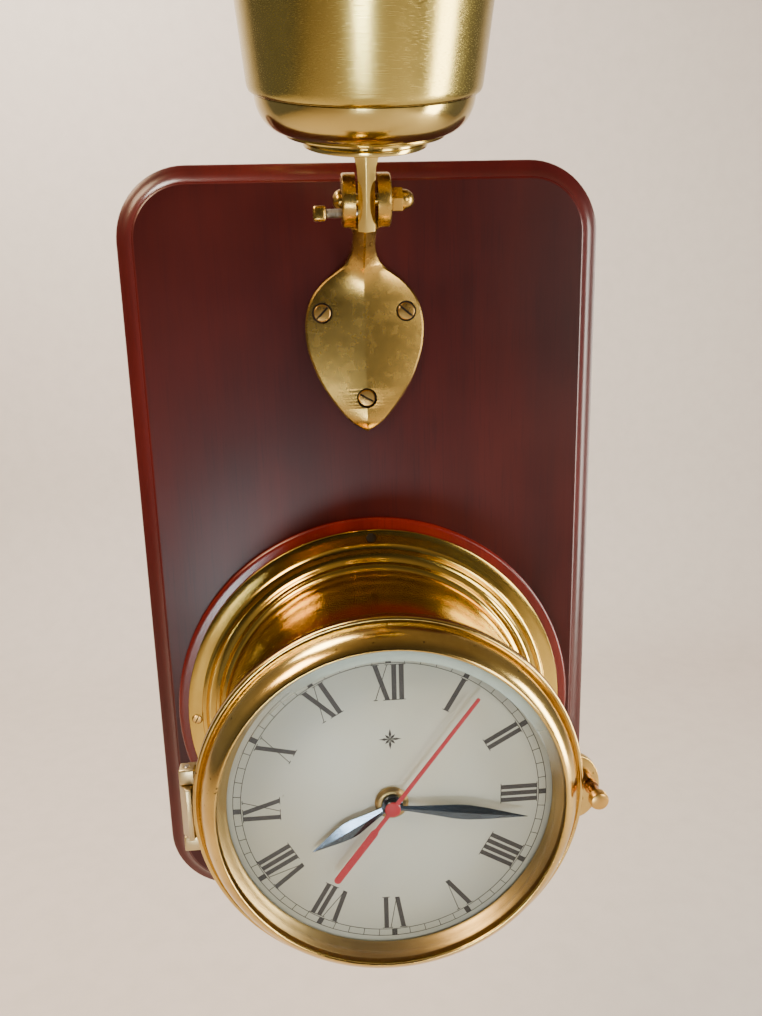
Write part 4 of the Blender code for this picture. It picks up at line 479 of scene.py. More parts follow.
class Form:
    """Meshes made with lathe, saw and file, and the outlines that they follow, in metres."""

    @staticmethod
    def turned(profile: Iterable[Pair], steps: int = 96, place: Matrix | None = None) -> bmesh.types.BMesh:
        """Spins an outline of (radius, height) points about the z axis.

        Args:
            profile: the closed outline, in metres.
            steps: faces round the full turn.
            place: where to put the result, if not at the origin.

        Returns:
            A closed mesh.
        """
        made = bmesh.new()
        ring = [made.verts.new((radius, 0, height)) for radius, height in profile]
        edges = [made.edges.new(pair) for pair in zip(ring, ring[1:] + ring[:1])]
        turn = {"axis": (0, 0, 1), "cent": (0, 0, 0), "angle": math.tau, "steps": steps, "use_merge": True}
        bmesh.ops.spin(made, geom=ring + edges, **turn)
        bmesh.ops.remove_doubles(made, verts=made.verts, dist=1e-6)
        loose = [edge for edge in made.edges if not edge.link_faces]
        bmesh.ops.delete(made, geom=loose, context="EDGES")
        if place is not None:
            made.transform(place)
        return made

    @staticmethod
    def raised(made: bmesh.types.BMesh, rise: float) -> list[bmesh.types.BMFace]:
        """Extrudes every face of a sheet straight up and returns the lifted faces."""
        grown = bmesh.ops.extrude_face_region(made, geom=list(made.faces))["geom"]
        lifted = [item for item in grown if isinstance(item, bmesh.types.BMVert)]
        bmesh.ops.translate(made, verts=lifted, vec=(0, 0, rise))
        return [item for item in grown if isinstance(item, bmesh.types.BMFace)]

    @staticmethod
    def near(radius: float, height: float, offsets: Iterable[Pair]) -> list[Pair]:
        """Outline points given by their offsets, in millimetres, from a radius and a height."""
        return [(radius + out * MM, height + up * MM) for out, up in offsets]

    @staticmethod
    def rod(
        radius: float, low: float, high: float, steps: int = 48, place: Matrix | None = None
    ) -> bmesh.types.BMesh:
        """A plain rod, mostly for cutting holes."""
        return Form.turned(((0, low), (radius, low), (radius, high), (0, high)), steps, place)

    @staticmethod
    def slab(outline: Sequence[Pair], low: float, high: float, round_by: float = 0.0) -> bmesh.types.BMesh:
        """Extrudes a flat outline.

        Args:
            outline: points in order.
            low: the height that it starts at.
            high: the height that it ends at.
            round_by: the radius on its top and bottom edges, or 0 for sharp ones.

        Returns:
            A closed mesh.
        """
        made = bmesh.new()
        made.faces.new([made.verts.new((x, y, low)) for x, y in outline])
        Form.raised(made, high - low)
        if round_by:
            flat = [edge for edge in made.edges if abs(edge.verts[0].co.z - edge.verts[1].co.z) < 1e-7]
            bmesh.ops.bevel(made, geom=flat, offset=round_by, clamp_overlap=True, **ROUND_EDGES)
        return made

    @staticmethod
    def lofted(sections: Sequence[Sequence[Vector]]) -> bmesh.types.BMesh:
        """Bridges closed sections with equal point counts and caps both ends."""
        made = bmesh.new()
        rings = [[made.verts.new(point) for point in section] for section in sections]
        made.faces.new(rings[0])
        made.faces.new(rings[-1])
        for first, second in zip(rings, rings[1:]):
            edges = []
            for ring in (first, second):
                for pair in zip(ring, ring[1:] + ring[:1]):
                    edges.append(made.edges.get(pair) or made.edges.new(pair))
            bmesh.ops.bridge_loops(made, edges=edges)
        bmesh.ops.triangulate(made, faces=made.faces)
        return made

    @staticmethod
    def block(size: Vector, centre: Vector, round_by: float = 0.0) -> bmesh.types.BMesh:
        """A box with its edges rounded, if asked."""
        made = bmesh.new()
        bmesh.ops.create_cube(made, size=1.0)
        bmesh.ops.scale(made, verts=made.verts, vec=size)
        bmesh.ops.translate(made, verts=made.verts, vec=centre)
        if round_by:
            bmesh.ops.bevel(made, geom=list(made.edges), offset=round_by, **ROUND_EDGES)
        return made

    @staticmethod
    def joined(parts: Iterable[bmesh.types.BMesh]) -> bmesh.types.BMesh:
        """Puts several meshes into one."""
        whole = bmesh.new()
        for part in parts:
            spare = bpy.data.meshes.new("spare")
            part.to_mesh(spare)
            part.free()
            whole.from_mesh(spare)
            bpy.data.meshes.remove(spare)
        return whole

    @staticmethod
    def arc(centre: Pair, radius: float, start: float, end: float, steps: int) -> list[Pair]:
        """Points on a circle, in degrees anticlockwise from +x."""
        angles = [math.radians(start + (end - start) * step / steps) for step in range(steps + 1)]
        across, up = centre
        return [(across + radius * math.cos(angle), up + radius * math.sin(angle)) for angle in angles]

    @staticmethod
    def smooth_curve(points: Sequence[Pair], steps: int) -> list[Pair]:
        """A smooth line through the given points, with several steps between each two."""
        padded = [points[0], *points, points[-1]]
        line = []
        for before, first, second, after in zip(padded, padded[1:], padded[2:], padded[3:]):
            for step in range(steps):
                t = step / steps
                line.append(tuple(Form._blend(*four, t) for four in zip(before, first, second, after)))
        return [*line, points[-1]]

    @staticmethod
    def _blend(a: float, b: float, c: float, d: float, t: float) -> float:
        """One coordinate of a curve that passes through b and c."""
        square, cube = 2 * a - 5 * b + 4 * c - d, 3 * b - a - 3 * c + d
        return 0.5 * (2 * b + (c - a) * t + square * t * t + cube * t**3)


@dataclass
class Piece:
    """One visible piece: its mesh, its finish, and what it stands for."""

    name: str
    mesh: bmesh.types.BMesh
    finish: Finish
    body: Body
    slot: str
    stands_for: tuple[str, ...] = ()
    place: Matrix = None
    crease: float = 35.0
    joins: tuple[bmesh.types.BMesh, ...] = ()
    cuts: tuple[bmesh.types.BMesh, ...] = ()

    def _object(self, name: str, mesh: bmesh.types.BMesh) -> bpy.types.Object:
        """Makes an object of a mesh, with its faces pointing out and its place in its points."""
        bmesh.ops.recalc_face_normals(mesh, faces=mesh.faces)
        mesh.transform(self.place or FACE)
        if mesh.calc_volume(signed=True) < 0:
            bmesh.ops.reverse_faces(mesh, faces=mesh.faces)
        data = bpy.data.meshes.new(name)
        mesh.to_mesh(data)
        mesh.free()
        made = bpy.data.objects.new(name, data)
        bpy.context.scene.collection.objects.link(made)
        return made

    def _carve(self, made: bpy.types.Object) -> None:
        """Joins and cuts with exact Booleans and keeps the result as the object's own mesh."""
        tools = [("UNION", mesh) for mesh in self.joins] + [("DIFFERENCE", mesh) for mesh in self.cuts]
        helpers = []
        for number, (operation, mesh) in enumerate(tools):
            helper = self._object(f"{self.name}_tool_{number}", mesh)
            modifier = made.modifiers.new(helper.name, "BOOLEAN")
            modifier.operation = operation
            modifier.solver = "EXACT"
            modifier.object = helper
            helpers.append(helper)
        graph = bpy.context.evaluated_depsgraph_get()
        carved = bpy.data.meshes.new_from_object(made.evaluated_get(graph))
        made.modifiers.clear()
        old = made.data
        made.data = carved
        carved.name = self.name
        bpy.data.meshes.remove(old)
        for helper in helpers:
            bpy.data.meshes.remove(helper.data)

    def make(self) -> bpy.types.Object:
        """Builds the object, dresses it and ties it to its body.

        Returns:
            The finished object.
        """
        made = self._object(self.name, self.mesh)
        if self.joins or self.cuts:
            self._carve(made)
        made.data.shade_smooth()
        made.data.set_sharp_from_angle(angle=math.radians(self.crease))
        made.data.materials.clear()
        made.data.materials.append(self.finish.material())
        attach(made, self.body.value)
        if self.stands_for:
            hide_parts(*self.stands_for)
        LOG.info("%s: %d faces, on %s", self.name, len(made.data.polygons), self.body.value)
        return made


@dataclass
class SlottedScrew:
    """A round-headed brass screw with a slot across it."""

    node: str
    slot_angle: float
    body: Body = Body.BOARD
    # outer radius of a dark ring of painted shade round the head, or 0 for none
    ring: float = 0.0

    def build(self) -> None:
        """Turns the head and shank from the node's box, files the slot and paints shade into it and, if
        asked, round the head.
        """
        span = Span.of(self.node)
        radius, top, tip = span.radius, span.high, span.low
        under = top - 0.55 * radius
        profile = [(0, tip), (radius * 0.14, tip), (radius * 0.4, tip + radius * 0.8), (radius * 0.4, under)]
        profile += [(radius * 0.96, under), (radius, under + 0.08 * radius), (radius, top - 0.14 * radius)]
        profile += [(radius * 0.9, top - 0.04 * radius), (radius * 0.5, top), (0, top)]
        at = Matrix.Translation((*span.centre, 0)) @ Matrix.Rotation(math.radians(self.slot_angle), 4, "Z")
        slot = Form.block(Vector((radius * 3, radius * 0.26, radius * 0.6)), Vector((0, 0, top)))
        slot.transform(at)
        head = Form.turned(profile, 40, at)
        node = self.node
        Piece(f"{node}_fine", head, FINISH.screw, self.body, "screw_brass", (node,), cuts=(slot,)).make()
        # A thin dark slab at the slot's bottom: painted shade in the slot.
        size = Vector((radius * 1.84, radius * 0.24, 0.08 * MM))
        floor = Form.block(size, Vector((0, 0, top - 0.28 * radius)))
        floor.transform(at)
        Piece(f"{node}_slot_floor", floor, FINISH.shadow, self.body, "screw_brass").make()
        # A flat dark ring just under the head: painted shade round the screw.
        if self.ring:
            low, inner = under + 0.02 * MM, radius * 1.02
            high = low + 0.1 * MM
            shade = Form.turned(((inner, low), (self.ring, low), (self.ring, high), (inner, high)), 40, at)
            Piece(f"{node}_ring", shade, FINISH.shadow, self.body, "screw_brass").make()


@dataclass
class WallBoard:
    """The mahogany board with its moulded edge, the round pad under the clock, and the hangers' recesses."""

    corner: float = 32 * MM
    edge_depth: float = 6.0 * MM
    moulding: tuple[Pair, ...] = (
        (0.35, 0.7), (0.75, 0.4), (1.2, 0.3), (1.6, 0.55), (1.5, 0.95), (1.2, 1.2),
        (0.7, 0.95), (0.2, 0.45), (0.4, 0.1), (0.4, 0.2), (0.2, 0.15),
    )
    pad_round: float = 1.6 * MM

    def _blank(self, span: Span, inset: float, low: float) -> bmesh.types.BMesh:
        """The board's round-cornered outline as one face."""
        made = bmesh.new()
        bmesh.ops.create_grid(made, x_segments=1, y_segments=1, size=0.5)
        size = (span.right - span.left - 2 * inset, span.top - span.bottom - 2 * inset, 1)
        bmesh.ops.scale(made, verts=made.verts, vec=size)
        bmesh.ops.translate(made, verts=made.verts, vec=(*span.centre, low))
        options = {"segments": 16, "profile": 0.5, "affect": "VERTICES", "material": -1}
        bmesh.ops.bevel(made, geom=list(made.verts), offset=self.corner - inset, **options)
        return made

    def _moulded(self, span: Span) -> bmesh.types.BMesh:
        """Raises the outline and steps it in along the moulding."""
        made = self._blank(span, 0.0, span.low)
        top = Form.raised(made, span.high - self.edge_depth - span.low)
        for inward, up in self.moulding:
            step = {"thickness": inward * MM, "depth": up * MM, "use_boundary": True, "use_even_offset": True}
            bmesh.ops.inset_region(made, faces=top, **step)
        return made

    def _recesses(self) -> list[bmesh.types.BMesh]:
        """The rooms behind the hanger plates."""
        cuts = []
        for side in ("left", "right"):
            plate = Span.of(f"hanger_plate_{side}")
            size = Vector((plate.right - plate.left + 0.6 * MM, plate.top - plate.bottom + 0.6 * MM, 5 * MM))
            cuts.append(Form.block(size, Vector((*plate.centre, plate.high - 2.2 * MM))))
            size = Vector((12 * MM, plate.top - plate.bottom - 2 * MM, 10 * MM))
            cuts.append(Form.block(size, Vector((*plate.centre, plate.high + 0.6 * MM))))
        return cuts

    def build(self) -> None:
        """Makes the board, dresses its moulding apart from its face, and turns the pad."""
        span = Span.of("backboard")
        board = Piece(
            "board_fine", self._moulded(span), FINISH.board, Body.BOARD, "mahogany", ("backboard",),
            cuts=tuple(self._recesses()),
        ).make()
        # The moulded edge takes the lighter, redder copy of the mahogany: painted light on the edge.
        board.data.materials.append(FINISH.moulding.material())
        half = (span.right - span.left) / 2
        for face in board.data.polygons:
            flat = abs(face.normal.y) > 0.999
            if not flat and max(abs(face.center.x) - half, 0) < 9 * MM:
                face.material_index = 1
        pad = Span.of("clock_pad")
        radius, low, high = pad.radius, pad.low, pad.high
        profile = [(0, low), *Form.near(radius, low, ((-0.2, 0), (0, 0.2)))]
        profile += Form.arc((radius - self.pad_round, high - self.pad_round), self.pad_round, 0, 80, 6)
        profile += [(radius - 2.4 * MM, high), (0, high)]
        mesh = Form.turned(profile, 144)
        Piece("pad_fine", mesh, FINISH.pad, Body.BOARD, "pad_mahogany", ("clock_pad",)).make()


@dataclass
class Case:
    """The forged brass case: flange, ridges, drum, and the screws through its flange."""

    wall: float = 2.0 * MM
    back: float = 2.6 * MM
    drum: float = 72.8 * MM
    seat_depth: float = 4.7 * MM
    hole: float = 2.5 * MM
    hole_ring: float = 88 * MM

    def _profile(self, span: Span) -> list[Pair]:
        """The section of the flange with its ridges, and of the drum."""
        low, mouth, flange = span.low, span.high, span.radius
        steps = (
            (0.0, 0.25), (0.0, 1.25), (0.25, 1.6), (0.7, 1.75), (3.0, 1.85), (6.6, 2.2), (6.9, 2.55),
            (7.3, 3.05), (8.0, 3.5), (8.8, 3.65), (9.4, 3.35), (9.9, 3.05), (10.9, 3.1), (12.2, 3.4),
            (13.4, 4.1), (13.9, 5.0), (14.5, 5.55), (15.2, 5.5), (15.7, 5.0), (16.2, 4.95), (16.8, 5.4),
            (17.4, 5.6), (18.1, 6.4), (18.8, 7.6), (19.15, 9.4),
        )
        bore = self.drum - self.wall
        seat = mouth - self.seat_depth
        floor = low + self.back
        profile = [(0, low), (flange - 0.3 * MM, low)]
        profile += [(flange - inward * MM, low + up * MM) for inward, up in steps]
        profile += [(self.drum, low + 12 * MM), *Form.near(self.drum, mouth, ((0, -0.3), (-0.3, 0)))]
        profile += Form.near(bore, mouth, ((0.3, 0), (0, -0.3)))
        profile += Form.near(bore, seat, ((0, 0), (-1.6, 0), (-1.6, -2), (0, -4)))
        return [*profile, *Form.near(bore, floor, ((0, 4), (-1.2, 1.2), (-4, 0))), (0, floor)]

    def build(self) -> None:
        """Turns the case, drills its flange and seats the screws."""
        span = Span.of("clock_case")
        holes = []
        for angle in (0, 90, 180, 270):
            across = Matrix.Rotation(math.radians(angle), 4, "Z") @ Matrix.Translation((self.hole_ring, 0, 0))
            holes.append(Form.rod(self.hole, span.low - MM, span.low + 6 * MM, 32, across))
        mesh = Form.turned(self._profile(span), 160)
        Piece(
            "case_fine", mesh, FINISH.case, Body.BOARD, "case_brass", ("clock_case",), cuts=tuple(holes)
        ).make()
        # A dark disc at the bottom of the empty top hole: painted shade inside the hole.
        hole_shade_disc = Form.rod(self.hole * 0.96, span.low + 0.05 * MM, span.low + 0.3 * MM, 32)
        hole_shade_disc.transform(Matrix.Translation((0, self.hole_ring, 0)))
        Piece("empty_screw_hole_shade", hole_shade_disc, FINISH.shadow, Body.BOARD, "pad_mahogany").make()
        for side, angle in (("left", 62), ("right", 15), ("bottom", -30)):
            SlottedScrew(f"flange_screw_{side}", angle).build()


@dataclass
class Dial:
    """The silvered dial, its minute track, its Roman numerals and a small compass star."""

    track: Pair = (60.9 * MM, 64.0 * MM)
    line: float = 0.28 * MM
    block: Pair = (2.3 * MM, 2.9 * MM)
    numerals: Pair = (45.3 * MM, 60.0 * MM)
    thick: float = 1.95 * MM
    thin: float = 0.32 * MM
    pitch: float = 2.95 * MM
    raised: float = 0.05 * MM
    names: tuple[str, ...] = ("XII", "I", "II", "III", "IIII", "V", "VI", "VII", "VIII", "IX", "X", "XI")

    def _stroke(self, made: bmesh.types.BMesh, foot: Pair, head: Pair, width: float, place: Matrix) -> None:
        """Lays one inked stroke, level at both ends.

        Args:
            made: the mesh that gathers the strokes.
            foot: the middle of its lower end.
            head: the middle of its upper end.
            width: its width across the page.
            place: where the glyph stands.
        """
        tall = head[1] - foot[1]
        shear = Matrix.Identity(4)
        shear[0][1] = (head[0] - foot[0]) / tall
        middle = Matrix.Translation(((foot[0] + head[0]) / 2, (foot[1] + head[1]) / 2, 0))
        at = place @ middle @ shear @ Matrix.Diagonal((width, tall, 1, 1))
        bmesh.ops.create_grid(made, x_segments=1, y_segments=1, size=0.5, matrix=at)

    def _glyph(self, made: bmesh.types.BMesh, letter: str, across: float, place: Matrix) -> None:
        """Draws one letter with its fine feet."""
        low, high = self.numerals
        lean = {"I": (0.0, 0.0), "V": (-2.4 * MM, 3.0 * MM), "X": (-2.35 * MM, 2.35 * MM)}[letter]
        vee = ((0.1 * MM, lean[0]), (0.35 * MM, lean[1]))
        ends = {"I": ((0, 0),), "V": vee, "X": (lean[::-1], lean)}[letter]
        for number, (foot, head) in enumerate(ends):
            width = self.thick if number == 0 else self.thin
            self._stroke(made, (across + foot, low), (across + head, high), width, place)
            feet = width + 1.35 * MM
            self._stroke(made, (across + head, high), (across + head, high + self.thin), feet, place)
            if letter != "V":
                self._stroke(made, (across + foot, low - self.thin), (across + foot, low), feet, place)

    def _numerals(self) -> bmesh.types.BMesh:
        """All twelve hours, each with its foot towards the centre."""
        made = bmesh.new()
        wide = {"I": self.pitch, "V": 6.7 * MM, "X": 7.2 * MM}
        for hour, text in enumerate(self.names):
            place = Matrix.Rotation(math.radians(-30 * hour), 4, "Z")
            along = -sum(wide[letter] for letter in text) / 2
            for letter in text:
                self._glyph(made, letter, along + wide[letter] / 2, place)
                along += wide[letter]
        return made

    def _track(self) -> bmesh.types.BMesh:
        """Sixty minute ticks between two circles, with a block at every hour."""
        made = bmesh.new()
        inner, outer = self.track
        for minute in range(60):
            place = Matrix.Rotation(math.radians(-6 * minute), 4, "Z")
            width = self.block[0] if minute % 5 == 0 else self.line
            self._stroke(made, (0, inner), (0, outer), width, place)
        for radius in self.track:
            ring = bmesh.ops.create_circle(made, cap_ends=False, radius=radius - self.line / 2, segments=180)
            rim = [edge for edge in made.edges if all(end in ring["verts"] for end in edge.verts)]
            grown = bmesh.ops.extrude_edge_only(made, edges=rim)
            outside = [item for item in grown["geom"] if isinstance(item, bmesh.types.BMVert)]
            factor = (radius + self.line / 2) / (radius - self.line / 2)
            bmesh.ops.scale(made, verts=outside, vec=(factor, factor, 1))
        return made

    def _star(self) -> bmesh.types.BMesh:
        """An eight-pointed compass star under the twelve."""
        made = bmesh.new()
        for count, reach in ((4, 4.6 * MM), (4, 2.9 * MM)):
            for point in range(count):
                turn = point * 90 + (45 if reach < 4 * MM else 0)
                place = Matrix.Translation((0, 28 * MM, 0)) @ Matrix.Rotation(math.radians(turn), 4, "Z")
                ring = bmesh.ops.create_circle(made, cap_ends=True, radius=1.0, segments=4, matrix=place)
                own = (place.inverted() @ vert.co for vert in ring["verts"])
                for vert, at in zip(ring["verts"], list(own)):
                    vert.co = place @ Vector((at.x * 0.55 * MM, at.y * reach / 2 + reach / 2, 0))
        return made

    def _inked(self, name: str, made: bmesh.types.BMesh, height: float) -> None:
        """Gives flat print its thickness and lays it on the dial."""
        bmesh.ops.translate(made, verts=made.verts, vec=(0, 0, height))
        Form.raised(made, self.raised)
        Piece(name, made, FINISH.ink, Body.BOARD, "silvered_dial").make()

    def build(self) -> None:
        """Turns the dial and prints it."""
        span = Span.of("dial")
        radius, low, high = span.radius, span.low, span.high
        hole = Span.of("dial_nut").radius * 0.6
        rim = Form.near(radius, high, ((0, -0.1), (-0.15, 0)))
        profile = [(hole, low), (radius, low), *rim, (hole, high)]
        mesh = Form.turned(profile, 128)
        Piece("dial_fine", mesh, FINISH.dial, Body.BOARD, "silvered_dial", ("dial",)).make()
        self._inked("dial_numerals", self._numerals(), high)
        self._inked("dial_minute_track", self._track(), high)
        self._inked("dial_compass_star", self._star(), high)
        nut = Span.of("dial_nut")
        outer, inner = nut.radius, nut.radius * 0.6
        profile = [(inner, nut.low), *Form.near(outer, nut.low, ((-0.2, 0), (0, 0.25)))]
        profile += Form.near(outer, nut.high, ((0, -0.9), (-0.9, -0.25), (-1.3, 0)))
        profile += Form.near(inner, nut.high, ((0.2, 0), (0, -0.2)))
        mesh = Form.turned(profile, 64)
        Piece("dial_nut_fine", mesh, FINISH.rehaut, Body.BOARD, "nut_brass", ("dial_nut",)).make()


@dataclass
class Hands:
    """The leaf-shaped hour and minute hands and the red sweep hand, clockwise from twelve."""

    hour: Pair = (240.0, 38 * MM)
    minute: Pair = (98.5, 56 * MM)
    second: Pair = (37.0, 58 * MM)
    tail: float = 40 * MM
    tail_half: float = 1.5 * MM
    thick: float = 0.4 * MM
    ridge: float = 0.7 * MM

    @staticmethod
    def _along(angle: float) -> Matrix:
        """A frame whose y axis runs along a hand at this clock angle."""
        return Matrix.Rotation(math.radians(-angle), 4, "Z")

    def _leaf(self, length: float, widest: float, low: float) -> bmesh.types.BMesh:
        """A blade folded along its middle, with a long shoulder and a fine point."""
        made = bmesh.new()
        bmesh.ops.create_grid(made, x_segments=2, y_segments=28, size=0.5)
        outline = ((0.0, 0.3), (0.12, 0.36), (0.3, 0.66), (0.46, 0.97))
        outline += ((0.56, 1.0), (0.7, 0.76), (0.86, 0.36), (1.0, 0.03))
        for vert in made.verts:
            along = vert.co.y + 0.5
            before, after = next((a, b) for a, b in zip(outline, outline[1:]) if b[0] >= along - 1e-6)
            part = (along - before[0]) / (after[0] - before[0])
            half = widest / 2 * (before[1] + (after[1] - before[1]) * part)
            fold = self.ridge * half / (widest / 2) if abs(vert.co.x) < 0.25 else 0.0
            vert.co = Vector((vert.co.x * 2 * half, along * length, low + self.thick * 0.5 + fold))
        grown = bmesh.ops.extrude_face_region(made, geom=list(made.faces))
        under = [item for item in grown["geom"] if isinstance(item, bmesh.types.BMVert)]
        for vert in under:
            vert.co.z = low
        return made

    def _boss(self, radius: float, bore: float, low: float, high: float) -> bmesh.types.BMesh:
        """The round collar that a hand is pressed on with."""
        profile = [(bore, low), (radius, low), *Form.near(radius, high, ((0, -0.3), (-0.3, 0))), (bore, high)]
        return Form.turned(profile, 40)

    def _sweep(self, low: float, high: float) -> bmesh.types.BMesh:
        """The red hand: a fine tapered shaft and a broad counterpoise with small shoulders."""
        reach, wide = self.second[1], self.tail_half
        root = wide - self.tail
        half = [(0.6 * MM, reach), (0.7 * MM, reach - 1 * MM), (0.85 * MM, 4 * MM), (0.85 * MM, -10.5 * MM)]
        half += [(1.0 * MM, -11.4 * MM), (wide, -12.6 * MM), (wide, root)]
        end = Form.arc((0, root), wide, 0, -180, 10)[1:-1]
        outline = [*half, *end, *[(-x, y) for x, y in reversed(half)]]
        return Form.slab(outline, low, high)

    def build(self) -> None:
        """Makes the three hands and their bosses."""
        for node, body, (angle, length), widest, radius in (
            ("hour_hand", Body.HOURS, self.hour, 7.6 * MM, 4.4 * MM),
            ("minute_hand", Body.MINUTES, self.minute, 6.6 * MM, 3.1 * MM),
        ):
            span = Span.of(node)
            blade = self._leaf(length, widest, span.low + 0.3 * MM)
            boss = self._boss(radius, radius * 0.62, span.low, span.high)
            both = Form.joined((blade, boss))
            both.transform(self._along(angle))
            Piece(f"{node}_fine", both, FINISH.black, body, "black_hands", (node,), crease=18).make()
        span = Span.of("second_hand")
        low = span.low + 0.2 * MM
        sweep = self._sweep(low, low + 0.45 * MM)
        cap = Form.near(0.0, span.low, ((0, 0), (3.0, 0), (3.15, 0.2)))
        cap += Form.near(0.0, span.high, ((3.15, -0.35), (2.9, -0.1), (2.3, 0), (0, 0)))
        both = Form.joined((sweep, Form.turned(cap, 48)))
        both.transform(self._along(self.second[0]))
        Piece("second_hand_fine", both, FINISH.red, Body.SECONDS, "red_hand", ("second_hand",)).make()


@dataclass
class Bezel:
    """The hinged bezel with its ear, the bevelled glass, and the ring behind it."""

    side: float = 3.8 * MM
    lip: float = 69.8 * MM
    lip_thick: float = 0.8 * MM
    skirt: float = 73.3 * MM
    slope_height: float = 10.5  # the height that the slope's own steps are given over
    ear_half: float = 14.4 * MM
    glass_bevel: float = 4.2 * MM
    screw_bore: float = 2.3 * MM
    ring_bore: float = 66.4 * MM

    def _profile(self, span: Span) -> list[Pair]:
        """The rim's section: side, bead, groove, swelling slope and lip."""
        low, high, radius = span.low, span.high, span.radius
        shoulder = low + self.side
        profile = [(self.skirt, low), *Form.near(radius, low, ((-0.5, 0), (-0.15, 0.15), (0, 0.5)))]
        profile += [(radius, shoulder - 0.1 * MM)]
        profile += Form.arc((radius - 1.05 * MM, shoulder - 0.1 * MM), 1.05 * MM, 15, 165, 8)
        profile += Form.near(radius, shoulder, ((-2.2, 0.05), (-2.5, 0.35)))
        steps = ((0.32, 0.7), (0.62, 1.9), (1.1, 3.5), (1.75, 5.2))
        steps += ((2.7, 6.9), (3.9, 8.4), (5.1, 9.5), (6.2, 10.15))
        for inward, up in steps:
            part = up / self.slope_height * (high - shoulder)
            profile.append((radius - 2.5 * MM - inward * MM, shoulder + part))
        profile += Form.arc((self.lip + 0.7 * MM, high - 0.7 * MM), 0.7 * MM, 80, 180, 6)
        under = high - self.lip_thick
        bore = self.lip + 2.0 * MM
        inside = low + 1.0 * MM
        return [*profile, (self.lip, under), (bore, under), (bore, inside), (self.skirt, inside)]

    def _ear(self, span: Span) -> bmesh.types.BMesh:
        """The rounded tongue that the thumb screw goes through."""
        root = span.radius - 3 * MM
        reach = span.right - root
        steps = 32
        points = []
        for step in range(steps + 1):
            angle = math.radians(-90 + 180 * step / steps)
            points.append((root + reach * math.cos(angle), self.ear_half * math.sin(angle)))
        return Form.slab(points, span.low + 0.35 * MM, span.low + self.side - 0.3 * MM, 0.45 * MM)

    def build(self) -> None:
        """Makes the rim, the glass, its bevel and the retaining ring."""
        span = Span.of("bezel_ring")
        rim = Form.turned(self._profile(span), 192)
        at = Matrix.Translation((*Span.of("thumb_screw").centre, 0))
        hole = Form.rod(self.screw_bore, span.low - 5 * MM, span.low + 12 * MM, 32, at)
        Piece(
            "bezel_fine", rim, FINISH.bezel, Body.BEZEL, "bezel_brass", ("bezel_ring",),
            joins=(self._ear(span),), cuts=(hole,),
        ).make()
        glass = Span.of("front_glass")
        radius, low, high = glass.radius, glass.low, glass.high
        flat = self.lip - self.glass_bevel
        profile = [(0, low), (flat, low), (flat, high), (0, high)]
        mesh = Form.turned(profile, 128)
        Piece("glass_fine", mesh, FINISH.glass, Body.BEZEL, "clear_glass", ("front_glass",)).make()
        # The bevel ring carries a painted reflection, pale at the top and brown at the bottom.
        apart = flat + 0.02 * MM
        profile = [(apart, low), (radius, low), (radius, high - 0.9 * MM), (apart, high)]
        mesh = Form.turned(profile, 128)
        Piece("glass_bevel_fine", mesh, FINISH.glass_edge_painted_reflection, Body.BEZEL, "clear_glass").make()
        ring = Span.of("glass_retaining_ring")
        radius, low, high = ring.radius, ring.low, ring.high
        profile = [(self.ring_bore, low), (radius, low), (radius, high)]
        profile += Form.near(0.0, high, ((69.6, 0), (69.2, -0.3)))
        profile += Form.near(0.0, low, ((68.0, 2.6), (66.9, 1.1), (66.5, 0.5)))
        mesh = Form.turned(profile, 144)
        Piece("rehaut_fine", mesh, FINISH.rehaut, Body.BEZEL, "ring_brass", ("glass_retaining_ring",)).make()


